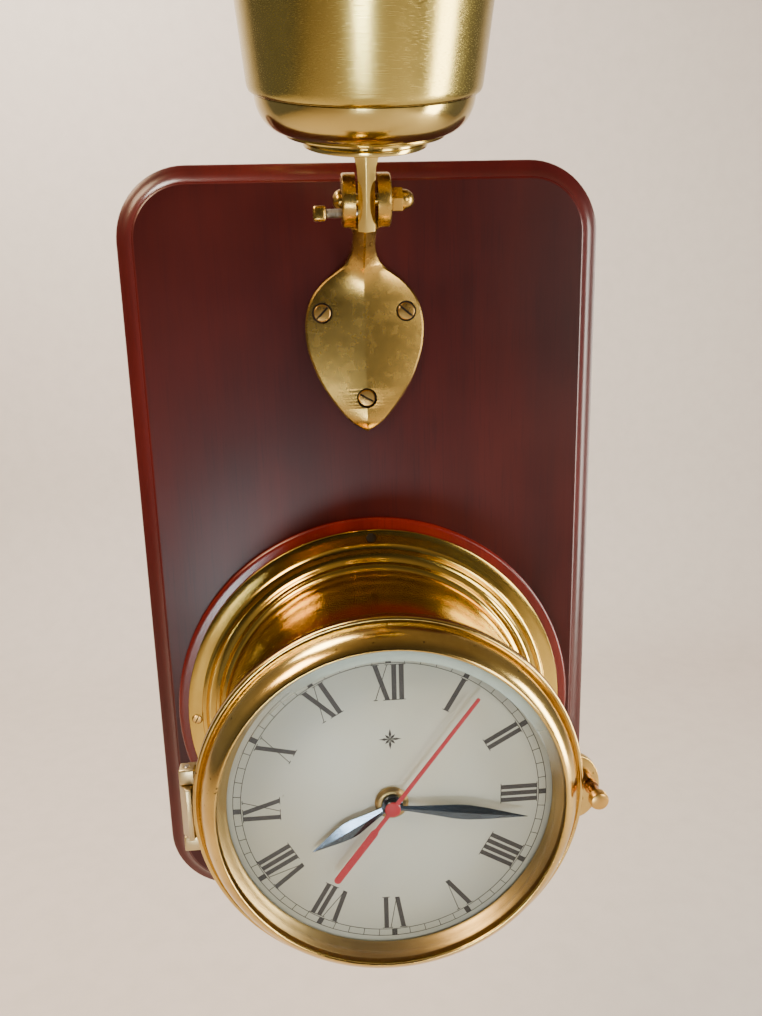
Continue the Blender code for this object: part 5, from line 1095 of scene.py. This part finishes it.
@dataclass
class HingeAndLatch:
    """The hinge at nine o'clock and the thumb-screw latch at three."""

    barrel: float = 3.4 * MM
    knuckle: float = 6.7 * MM
    leaf: float = 2.2 * MM
    pin: float = 1.3 * MM
    pin_room: float = 0.15 * MM
    leaf_seat: float = 73.0 * MM  # radius of the leaf's inner face, just off the drum
    lug_seat: float = 73.05 * MM  # radius of the lug's inner face
    lug_bore: float = 2.7 * MM

    def _knuckle(self, low: float, high: float, axis: Vector) -> bmesh.types.BMesh:
        """A squared hinge knuckle with rounded edges."""
        size = Vector((self.barrel * 1.9, high - low, self.barrel * 1.9))
        return Form.block(size, Vector((axis.x, (low + high) / 2, axis.z)), 0.7 * MM)

    def build(self) -> None:
        """Makes both leaves, the pin, the lug and the thumb screw."""
        case = Span.of("case_hinge_leaf")
        at = FACE.inverted() @ joint_point("bezel_swing")
        low, high = case.bottom, case.top
        axis = Matrix.Translation((at.x, 0, at.z)) @ RAISE
        hole, bore = (Form.rod(self.pin + self.pin_room, low - MM, high + MM, 32, axis) for _ in range(2))
        bezel = Span.of("bezel_hinge_leaf")
        leaf = Form.block(
            Vector((case.right - at.x - 0.4 * MM, high - low, self.leaf)),
            Vector(((case.right + at.x) / 2 - 0.2 * MM, (low + high) / 2, case.low + self.leaf / 2)),
            0.3 * MM,
        )
        lower = self._knuckle(low, low + self.knuckle, at)
        upper = self._knuckle(high - self.knuckle, high, at)
        room = Form.block(
            Vector((self.barrel * 3, bezel.top - bezel.bottom + 0.6 * MM, self.barrel * 3)),
            Vector((at.x - self.barrel * 0.2, (bezel.top + bezel.bottom) / 2, at.z)),
        )
        drum = Form.rod(self.leaf_seat, case.low - 5 * MM, case.high + 5 * MM, 160)
        Piece(
            "case_leaf_fine", leaf, FINISH.fitting, Body.BOARD, "case_brass", ("case_hinge_leaf",),
            joins=(lower, upper), cuts=(room, drum, hole),
        ).make()
        rim = -Span.of("bezel_ring").radius - 0.3 * MM
        knuckle = ((-1, -0.7), (-0.7, -1), (0.6, -1), (0.9, -0.4), (0.9, 0.6))
        outline = [(at.x + self.barrel * x, at.z + self.barrel * h) for x, h in knuckle]
        outline += [(rim, at.z + self.barrel * 0.95)]
        outline += Form.near(rim, bezel.high, ((0, -0.2), (-0.3, 0), (-1.9, 0)))
        outline += [(at.x - self.barrel, at.z + self.barrel * 0.5)]
        block = Form.slab(outline, bezel.bottom, bezel.top, 0.35 * MM)
        block.transform(Matrix(((1, 0, 0, 0), (0, 0, 1, 0), (0, 1, 0, 0), (0, 0, 0, 1))))
        bmesh.ops.recalc_face_normals(block, faces=block.faces)
        Piece(
            "bezel_leaf_fine", block, FINISH.fitting, Body.BEZEL, "bezel_brass", ("bezel_hinge_leaf",),
            cuts=(bore,),
        ).make()
        span = Span.of("hinge_pin")
        rod = [(0, span.bottom), (self.pin - 0.3 * MM, span.bottom), (self.pin, span.bottom + 0.3 * MM)]
        rod += [(self.pin, span.top - 0.3 * MM), (self.pin - 0.3 * MM, span.top), (0, span.top)]
        mesh = Form.turned(rod, 32, axis)
        Piece("hinge_pin_fine", mesh, FINISH.pin, Body.BOARD, "pin_steel", ("hinge_pin",)).make()
        self._latch()

    def _latch(self) -> None:
        """The lug on the drum and the knurled thumb screw."""
        lug = Span.of("case_latch_lug")
        half = lug.radius
        tip = Form.arc((lug.right - half, 0), half, -90, 90, 16)
        root = lug.left - 2 * MM
        mesh = Form.slab([*tip, (root, half * 0.95), (root, -half * 0.95)], lug.low, lug.high, 0.5 * MM)
        thumb = Span.of("thumb_screw")
        at = Matrix.Translation((*thumb.centre, 0))
        drum = Form.rod(self.lug_seat, lug.low - 5 * MM, lug.high + 5 * MM, 160)
        hole = Form.rod(self.lug_bore, lug.low - MM, lug.high + MM, 32, at)
        Piece(
            "latch_lug_fine", mesh, FINISH.fitting, Body.BOARD, "case_brass", ("case_latch_lug",),
            cuts=(drum, hole),
        ).make()
        top, radius = thumb.high, thumb.radius
        under = top - 4.2 * MM
        foot = Span.of("bezel_ring").low + 3.75 * MM
        shank = Form.near(0.0, thumb.low, ((0, 0), (1.3, 0), (2.0, 0.8)))
        shank += Form.near(0.0, foot, ((2.0, 0), (2.9, 0), (2.9, 1.0), (2.5, 1.5), (2.35, 3.4), (2.55, 5.6)))
        shank += Form.near(0.0, under, ((2.55, -0.02), (0, -0.02)))
        mesh = Form.turned(shank, 40, at)
        Piece("thumb_neck", mesh, FINISH.copper, Body.THUMB, "screw_brass").make()
        head = [(0, under), *Form.near(radius, under, ((-0.7, 0), (-0.1, 0.5)))]
        for ridge in range(4):
            step = under + (0.75 + ridge * 0.72) * MM
            head += Form.near(radius, step, ((0, 0), (0, 0.36), (-0.16, 0.54)))
        head += [*Form.near(radius, top, ((-0.35, -0.25), (-0.8, 0))), (0, top)]
        mesh = Form.turned(head, 56, at)
        Piece("thumb_head", mesh, FINISH.screw, Body.THUMB, "screw_brass", ("thumb_screw",)).make()


@dataclass
class Bracket:
    """The leaf-shaped wall bracket: a ridged leaf, a rising neck and a fork with round cheeks."""

    stations: tuple[tuple[float, float, float, float, float, float], ...] = (
        (138.6, 0.3, 0, 0.8, 1.2, 1.7), (143, 0.3, 0, 7.3, 2.0, 3.9), (149, 0.3, 0, 12.6, 2.0, 4.6),
        (155, 0.3, 0, 16.8, 2.0, 4.7), (162, 0.3, 0, 20.9, 2.0, 4.7), (169.5, 0.3, 0, 23.9, 2.0, 4.7),
        (176, 0.3, 0, 25.8, 2.0, 4.7), (183, 0.3, 0, 26.65, 2.0, 4.7), (189, 0.3, 0, 26.4, 2.0, 4.8),
        (195, 0.3, 0, 25.0, 2.0, 4.9), (200.5, 0.3, 1, 22.2, 2.1, 5.2), (205.5, 0.5, 4, 17.8, 2.4, 5.9),
        (209.3, 1.0, 9, 13.0, 3.0, 6.6), (212.2, 1.9, 16, 9.4, 3.6, 7.0), (215.2, 3.6, 26, 7.0, 4.2, 7.2),
        (218.6, 6.4, 36, 5.5, 4.6, 7.2), (222.2, 10.0, 43, 4.8, 4.8, 7.2), (226, 14.0, 46, 4.7, 4.8, 7.2),
        (229.4, 17.4, 46, 5.6, 4.8, 7.2), (231.6, 19.6, 46, 9.0, 4.8, 7.2), (235, 23.0, 46, 9.5, 4.8, 7.0),
    )
    gap: float = 4.4 * MM
    outer: float = 9.9 * MM
    cheek_r: float = 10.5 * MM
    cheek_round: float = 1.2 * MM
    slot: float = 13.55 * MM
    sink: tuple[Pair, ...] = ((0, -1), (1.8, -1), (1.8, 1.4), (4.55, 1.4), (4.7, 9), (0, 9))

    def _blade(self) -> bmesh.types.BMesh:
        """The ridged leaf, which narrows into a neck that rises to the fork.

        Each station gives its height, its back's distance from the board, its lean, its half width and
        the thickness at its edges and at its ridge.
        """
        sections = []
        for up, back, lean, half, edge, ridge in Form.smooth_curve(self.stations, 4):
            angle = math.radians(lean)
            away = Vector((0, -math.sin(angle), math.cos(angle)))
            soft, flat = min(0.9, half * 0.3), min(0.35, half * 0.3)
            side = ((half, 0), (half, edge - 0.9), (half - soft, edge), (flat, ridge))
            ring = [*side, *((-x, out) for x, out in reversed(side))]
            sections.append([(Vector((x, up, back)) + away * out) * MM for x, out in ring])
        return Form.lofted(sections)

    def _fork(self) -> bmesh.types.BMesh:
        """Both cheeks as one rounded disc, before the slot for the lamp's arm is cut."""
        outline = Form.arc((0, 0), self.cheek_r, 0, 353, 59)
        return Form.slab(outline, -self.outer, self.outer, self.cheek_round)

    def build(self) -> None:
        """Joins leaf, neck and fork and cuts them, then fits the screws, bolt and nut."""
        at = Matrix.Translation(FACE.inverted() @ PIVOT.translation) @ ACROSS
        fork = self._fork()
        fork.transform(at)
        cuts = [Form.rod(self.slot, -self.gap, self.gap, 64, at)]
        cuts += [Form.rod(BOLT_BORE, -12 * MM, 12 * MM, 40, at)]
        sink = [(radius * MM, height * MM) for radius, height in self.sink]
        for side in ("left", "right", "lower"):
            hole = Form.turned(sink, 48)
            hole.transform(Matrix.Translation((*Span.of(f"bracket_screw_{side}").centre, 0)))
            cuts.append(hole)
        Piece(
            "bracket_fine", self._blade(), FINISH.bracket, Body.BOARD, "bracket_brass", ("lamp_bracket",),
            joins=(fork,), cuts=tuple(cuts), crease=24,
        ).make()
        # each bracket screw gets a dark ring of painted shade round its head
        for side, angle in (("left", 45), ("right", -40), ("lower", -30)):
            SlottedScrew(f"bracket_screw_{side}", angle, ring=4.5 * MM).build()
        self._pivot_hardware(at, self.outer)

    def _pivot_hardware(self, place: Matrix, outer: float) -> None:
        """The domed bolt, the acorn nut and the threaded clamp screw."""
        head = -outer - 0.3 * MM
        bolt = Form.near(0.0, head, ((0, -3.2), (1.6, -3.05), (3.0, -2.4), (3.9, -1.3), (4.3, -0.3)))
        bolt += Form.near(0.0, head, ((4.25, 0), (2.5, 0))) + Form.near(0.0, outer, ((2.5, 5), (0, 5)))
        mesh = Form.turned(bolt, 48, place)
        Piece("pivot_bolt_fine", mesh, FINISH.bracket, Body.BOARD, "bracket_brass", ("pivot_bolt",)).make()
        low = outer + 0.3 * MM
        nut = Form.slab(Form.arc((0, 0), 5.1 * MM, 0, 300, 5), low, low + 4.6 * MM, 0.4 * MM)
        nut.transform(place)
        dome = Form.near(0.0, low, ((0, 3), (4.05, 3), (4.05, 4.9)))
        dome += [(x, low + 4.9 * MM + y * 1.12) for x, y in Form.arc((0, 0), 4.05 * MM, 8, 88, 8)]
        dome += [(0, low + 9.3 * MM)]
        bore = Form.rod(BOLT_BORE, low - MM, outer + 5.3 * MM, 40, place)
        Piece(
            "pivot_nut_fine", nut, FINISH.bracket, Body.BOARD, "bracket_brass", ("pivot_nut",),
            joins=(Form.turned(dome, 48, place),), cuts=(bore,),
        ).make()
        span = Span.of("clamp_screw")
        clamp = Matrix.Translation((0, *((span.bottom + span.top) / 2, (span.low + span.high) / 2))) @ ACROSS
        along = span.left + 4.8 * MM
        thread = [(0, along)]
        while along < span.right - 1.2 * MM:
            thread += Form.near(0.0, along, ((1.55, 0), (1.9, 0.25), (1.55, 0.5)))
            along += 0.52 * MM
        thread += Form.near(0.0, span.right, ((1.5, -0.6), (1.0, 0), (0, 0)))
        Piece("clamp_thread", Form.turned(thread, 32, clamp), FINISH.pin, Body.CLAMP, "screw_brass").make()
        size = Vector((5.9 * MM, 5.9 * MM, 5.2 * MM))
        square = Form.block(size, Vector((0, 0, span.left + 2.6 * MM)), 1.1 * MM)
        square.transform(clamp)
        Piece("clamp_head", square, FINISH.bracket, Body.CLAMP, "screw_brass", ("clamp_screw",)).make()


@dataclass
class Lamp:
    """The tilting lamp, drawn along its own axis from the pivot."""

    lean: float = 19.0
    arm_half: float = 3.4 * MM
    start: float = 21 * MM
    foot: Pair = (24.2 * MM, 4.4 * MM)
    brim: float = 31.4 * MM
    bowl: Pair = (41.8 * MM, 19.2 * MM)
    body: tuple[float, float, float] = (44.4 * MM, 48.2 * MM, 52 * MM)
    wall: float = 1.5 * MM

    @property
    def place(self) -> Matrix:
        """World place of the lamp's own frame."""
        return PIVOT @ Matrix.Rotation(math.radians(self.lean - 90), 4, "X")

    def _add(
        self, name: str, mesh: bmesh.types.BMesh, finish: Finish, slot: str, *nodes: str, **extra: Any
    ) -> None:
        """Makes one piece of the lamp."""
        Piece(name, mesh, finish, Body.LAMP, slot, nodes, self.place, **extra).make()

    def _arm(self) -> None:
        """The blade in the fork: ridged in front, flaring under the foot."""
        shape = ((-11, 3.4, 6.8), (-6, 3.4, 7), (0, 3.35, 7), (8, 3.35, 7))
        shape += ((14, 3.8, 7), (17.4, 4.8, 7), (19.5, 6.0, 7), (20.7, 6.8, 7))
        ring = ((-1, -0.78), (-0.12, -1), (0.12, -1), (1, -0.78), (1, 0.9), (0.8, 1), (-0.8, 1), (-1, 0.9))
        sections = []
        for up, half, deep in shape:
            sections.append([Vector((x * half, y * deep, up)) * MM for x, y in ring])
        hole = Form.rod(BOLT_BORE, -8 * MM, 8 * MM, 40, ACROSS)
        self._add("lamp_arm_fine", Form.lofted(sections), FINISH.lamp, "lamp_brass", "lamp_arm", cuts=(hole,))

    def _bowl(self) -> None:
        """The polished base: stepped foot, brim and bowl."""
        low, wide, tall = self.start, *self.bowl
        foot, thick = self.foot
        brim = low + thick
        outer = [(0, low), *Form.near(foot, low, ((-0.5, 0), (-0.1, 0.2), (0, 0.6), (-0.1, 1.6)))]
        outer += Form.near(foot, low, ((-0.7, 2.0), (-0.8, 2.5), (1.4, 3.3)))
        outer += Form.near(self.brim, brim, ((-1.6, -0.3), (-0.3, 0), (0, 0.6), (-0.3, 1.4)))
        root, top = self.brim - 0.3 * MM, low + tall
        for step in range(1, 17):
            angle = math.radians(90 * step / 16)
            radius = root + (wide - root) * math.sin(angle)
            outer.append((radius, brim + 1.4 * MM + (top - brim - 1.4 * MM) * (1 - math.cos(angle))))
        inner = [(radius - self.wall, height) for radius, height in reversed(outer[11:])]
        floor = brim + self.wall
        inner[-1] = (inner[-1][0], floor)
        gland = Span.of("cable_gland")
        middle = self.place.inverted() @ FACE @ Vector((*gland.centre, (gland.low + gland.high) / 2))
        axis = Matrix.Translation((0, 0, middle.z)) @ RAISE
        hole = Form.rod(3.75 * MM, 30 * MM, 44 * MM, 32, axis)
        mesh = Form.turned([*outer, *inner, (0, floor)], 144)
        self._add("lamp_bowl_fine", mesh, FINISH.lamp, "lamp_brass", "lamp_base", cuts=(hole,))
        start = wide + 0.3 * MM
        body = Form.near(0.0, wide, ((2.6, -12), (3.4, -12)))
        body += Form.near(0.0, start, ((3.4, 0), (4.4, 0), (4.6, 0.3), (4.6, 2.6), (4.3, 3.1), (3.6, 4.3)))
        body += Form.near(0.0, start, ((2.9, 4.5), (2.6, 4.2)))
        self._add("cable_gland_fine", Form.turned(body, 40, axis), FINISH.lamp, "lamp_brass", "cable_gland")

    def _can(self) -> float:
        """The brushed can above the bowl. Returns the height of its mouth."""
        low = self.start + self.bowl[1] + 0.3 * MM
        foot, mouth, tall = self.body
        skin = Form.near(foot, low, ((-2.6, 0), (-1.5, 0.25), (-0.7, 0.9), (-0.2, 2.1), (0, 3.6)))
        for step in range(1, 9):
            part = step / 8
            skin.append((foot + (mouth - foot) * part, low + 3.6 * MM + (tall - 3.6 * MM) * part))
        inside = [(radius - self.wall, max(height, low + self.wall)) for radius, height in reversed(skin[3:])]
        profile = [(12 * MM, low), *skin, *inside, (12 * MM, low + self.wall)]
        mesh = Form.turned(profile, 144)
        self._add("lamp_can_fine", mesh, FINISH.brushed, "brushed_lamp_brass", "lamp_body")
        return low + tall

    def _mouth(self, mouth: float) -> None:
        """The rim and the ringed lens that it holds."""
        outer = self.body[1]
        lens_top = mouth + 4.2 * MM
        skirt = ((0.3, -4), (1.3, -4), (1.6, -3.6), (1.6, -2.4), (1.3, -2.1), (1.3, -1.7), (1.6, -1.4))
        crown = ((1.6, 4.6), (1.2, 5.4), (0.4, 5.9), (-1, 6), (-3.6, 5.6), (-4.5, 5.1))
        rim = Form.near(outer, mouth, (*skirt, *crown))
        rim += Form.near(outer, lens_top, ((-4.5, 0.3), (0.3, 0.3)))
        self._add("lamp_rim_fine", Form.turned(rim, 144), FINISH.lamp, "lamp_brass", "lamp_rim")
        lens = [(0, lens_top - 2.5 * MM), *Form.near(outer, lens_top, ((-0.5, -2.5), (-0.5, 0)))]
        for step in range(12, 0, -1):
            radius = (outer - 5 * MM) * step / 12
            lens += [(radius, lens_top - 0.02 * MM), (radius - 0.5 * MM, lens_top - 0.5 * MM)]
        lens += [(0, lens_top - 0.3 * MM)]
        self._add("lamp_lens_fine", Form.turned(lens, 96), FINISH.glass, "clear_glass", "lamp_lens")

    def _light_source(self, mouth: float) -> None:
        """Reflector, lamp holder and bulb."""
        holder_low = self.start + self.bowl[1] + 2.1 * MM
        holder_top = holder_low + 17 * MM
        curve = []
        for step in range(15):
            turn = step / 14 * math.pi / 2
            radius = (17 + 29.5 * math.sin(turn) ** 0.9) * MM
            curve.append((radius, holder_top - 2 * MM + (mouth + MM - holder_top) * (1 - math.cos(turn))))
        back = [(radius, height - 0.7 * MM) for radius, height in reversed(curve[:-1])]
        lip = (curve[-1][0] + 0.7 * MM, curve[-1][1])
        mesh = Form.turned([*curve, lip, *back], 96)
        self._add("reflector_fine", mesh, FINISH.foil, "reflector_aluminium", "reflector")
        holder = Form.near(0.0, holder_low, ((0, 0), (14, 0), (14.5, 0.5)))
        holder += Form.near(0.0, holder_top, ((14.5, -3), (14, -1.4), (12.5, 0), (8.3, 0)))
        mesh = Form.turned([*holder, *Form.near(0.0, holder_low, ((8.3, 4), (0, 4)))], 64)
        self._add("lamp_holder_fine", mesh, FINISH.porcelain, "porcelain", "lamp_holder")
        radius, centre = 13.4 * MM, holder_top + 14.5 * MM
        bulb = [*Form.near(0.0, holder_low, ((0, 4.3), (8, 4.3))), (8 * MM, holder_top + MM)]
        bulb += [(x, centre + y) for x, y in Form.arc((0, 0), radius, -45, 88, 18)] + [(0, centre + radius)]
        self._add("bulb_fine", Form.turned(bulb, 64), FINISH.opal, "opal_glass", "bulb")

    def build(self) -> None:
        """Makes the lamp from the arm up."""
        self._arm()
        self._bowl()
        mouth = self._can()
        self._mouth(mouth)
        self._light_source(mouth)


@dataclass
class Works:
    """The pieces that keep their CAD shape, such as the movement behind the dial, and their finishes."""

    steel: tuple[str, ...] = (
        "hanger_plate_left", "hanger_plate_right", "hanger_screw_left_1", "hanger_screw_left_2",
        "hanger_screw_right_1", "hanger_screw_right_2", "battery_contact_negative",
        "battery_contact_positive", "stator", "quartz_crystal",
    )
    plastic: tuple[str, ...] = ("movement_housing", "movement_cover", "setting_knob")
    acetal: tuple[str, ...] = (
        "seconds_wheel", "step_wheel", "third_wheel", "centre_wheel", "minute_tube", "motion_wheel",
        "hour_wheel",
    )

    def build(self) -> None:
        """Dresses each node in its own finish."""
        dressed = {node: FINISH.steel for node in self.steel}
        dressed |= {node: FINISH.plastic for node in self.plastic}
        dressed |= {node: FINISH.acetal for node in self.acetal}
        dressed |= {"battery_cell": FINISH.wrap, "circuit_board": FINISH.circuit, "coil": FINISH.copper_wire}
        dressed |= {"rotor": FINISH.magnet, "dial_ring": FINISH.rehaut}
        for node, finish in dressed.items():
            bpy.data.objects[node].material_slots[0].material = finish.material()
            LOG.info("%s: CAD shape, %s", node, finish.name)


@dataclass
class Studio:
    """The floor that sweeps up into a backdrop, the soft lights and the camera."""

    room: float = 1.0  # from the board's back to the backdrop
    drop: float = 0.25  # from the board's foot to the floor
    sweep: float = 0.25  # radius between floor and backdrop
    half_wide: float = 1.6
    tall: float = 1.3
    eye: tuple[float, float, float] = (-24.963 * MM, -403.536 * MM, 203.995 * MM)
    pitch: float = 0.249
    yaw: float = 0.075
    roll: float = -0.026
    focal: float = 31.12

    def _wall(self) -> None:
        """One pale sheet, a floor that sweeps up into a backdrop with room behind the board."""
        low = CAD_BOX[0].z - self.drop
        back = CAD_BOX[1].y + self.room
        made = bmesh.new()
        profile = [(-self.half_wide, low), (back - self.sweep, low)]
        profile += Form.arc((back - self.sweep, low + self.sweep), self.sweep, -90, 0, 12)[1:]
        profile += [(back, self.tall)]
        line = [made.verts.new((-self.half_wide, y, z)) for y, z in profile]
        edges = [made.edges.new(pair) for pair in zip(line, line[1:])]
        grown = bmesh.ops.extrude_edge_only(made, edges=edges)
        far = [item for item in grown["geom"] if isinstance(item, bmesh.types.BMVert)]
        bmesh.ops.translate(made, verts=far, vec=(2 * self.half_wide, 0, 0))
        data = bpy.data.meshes.new("wall_and_floor")
        made.to_mesh(data)
        made.free()
        data.shade_smooth()
        wall = bpy.data.objects.new("wall_and_floor", data)
        bpy.context.scene.collection.objects.link(wall)
        data.materials.append(FINISH.plaster.material())

    def _light(self, name: str, at: Vector, size: Pair, power: float, color: Color, aim: Vector) -> None:
        """One soft rectangular light.

        Args:
            name: the light's name.
            at: where it hangs.
            size: its width and height.
            power: its output in watts.
            color: its tint.
            aim: the point that it faces.
        """
        lamp = bpy.data.lights.new(name, "AREA")
        lamp.shape = "RECTANGLE"
        lamp.size, lamp.size_y = size
        lamp.energy = power
        lamp.color = color
        made = bpy.data.objects.new(name, lamp)
        made.location = at
        made.rotation_euler = (aim - at).to_track_quat("-Z", "Y").to_euler()
        bpy.context.scene.collection.objects.link(made)

    def _sky(self) -> None:
        """A dim room: warmer above, greyer below, and darker in front."""
        world = bpy.data.worlds.new("room")
        bpy.context.scene.world = world
        world.use_nodes = True
        nodes, links = world.node_tree.nodes, world.node_tree.links
        at = nodes.new("ShaderNodeTexCoord")
        parts = nodes.new("ShaderNodeSeparateXYZ")
        ramp = nodes.new("ShaderNodeValToRGB")
        links.new(at.outputs["Generated"], parts.inputs[0])
        stretch = nodes.new("ShaderNodeMapRange")
        stretch.inputs[1].default_value = -1.0
        links.new(parts.outputs["Z"], stretch.inputs[0])
        links.new(stretch.outputs[0], ramp.inputs[0])
        stops = ramp.color_ramp.elements
        stops[0].position, stops[0].color = 0.0, (0.34, 0.33, 0.33, 1)
        stops[1].position, stops[1].color = 1.0, (0.46, 0.33, 0.20, 1)
        middle = stops.new(0.5)
        middle.color = (0.40, 0.36, 0.32, 1)
        front = nodes.new("ShaderNodeMapRange")
        front.inputs[1].default_value = -0.98
        front.inputs[2].default_value = -0.12
        front.inputs[3].default_value = 0.10
        links.new(parts.outputs["Y"], front.inputs[0])
        shade = nodes.new("ShaderNodeVectorMath")
        shade.operation = "SCALE"
        links.new(ramp.outputs[0], shade.inputs[0])
        links.new(front.outputs[0], shade.inputs["Scale"])
        links.new(shade.outputs[0], nodes["Background"].inputs["Color"])
        nodes["Background"].inputs["Strength"].default_value = 0.55

    def _camera(self) -> None:
        """The camera, above and a little left of the clock, looking down at it."""
        front = Vector((0, FRONT, 0))
        eye = front + Vector(self.eye)
        yaw, pitch, roll = self.yaw, self.pitch, self.roll
        look = Vector((math.sin(yaw) * math.cos(pitch), math.cos(yaw) * math.cos(pitch), -math.sin(pitch)))
        right = Vector((math.cos(yaw), -math.sin(yaw), 0))
        up = right.cross(look)
        own_right = right * math.cos(roll) + up * math.sin(roll)
        own_up = up * math.cos(roll) - right * math.sin(roll)
        data = bpy.data.cameras.new("camera")
        data.lens = self.focal
        data.sensor_width = 36.0
        made = bpy.data.objects.new("camera", data)
        turn = Matrix((own_right, own_up, -look)).transposed().to_4x4()
        made.matrix_world = Matrix.Translation(eye) @ turn
        bpy.context.scene.collection.objects.link(made)
        bpy.context.scene.camera = made

    def build(self) -> None:
        """Sets the stage."""
        self._wall()
        self._sky()
        middle = Vector((0, FRONT, 0.07))
        self._light("low_window", Vector((-0.10, -0.92, -0.62)), (0.24, 0.95), 32, (0.90, 0.96, 1.0), middle)
        self._light("right_window", Vector((1.15, -0.36, 0.05)), (0.36, 0.80), 22, (1.0, 0.93, 0.82), middle)
        self._light("front_right", Vector((0.75, -1.05, 0.15)), (0.35, 0.50), 6, (1.0, 0.92, 0.80), middle)
        self._light("warm_lamp", Vector((-0.75, -0.45, 0.85)), (0.4, 0.4), 16, (1.0, 0.72, 0.45), middle)
        backdrop = Vector((0, self.room, 0.2))
        self._light("wall_wash", Vector((-0.55, 0.30, 1.10)), (0.5, 0.5), 26, (1.0, 0.88, 0.76), backdrop)
        self._camera()


def main() -> None:
    """Builds every sub-assembly in order and reports its pieces."""
    logging.basicConfig(level=logging.INFO, format="%(name)s %(message)s")
    for part in (WallBoard, Case, Dial, Hands, Bezel, HingeAndLatch, Bracket, Lamp, Works, Studio):
        LOG.info("building %s", part.__name__)
        part().build()


if __name__ == "__main__":
    main()
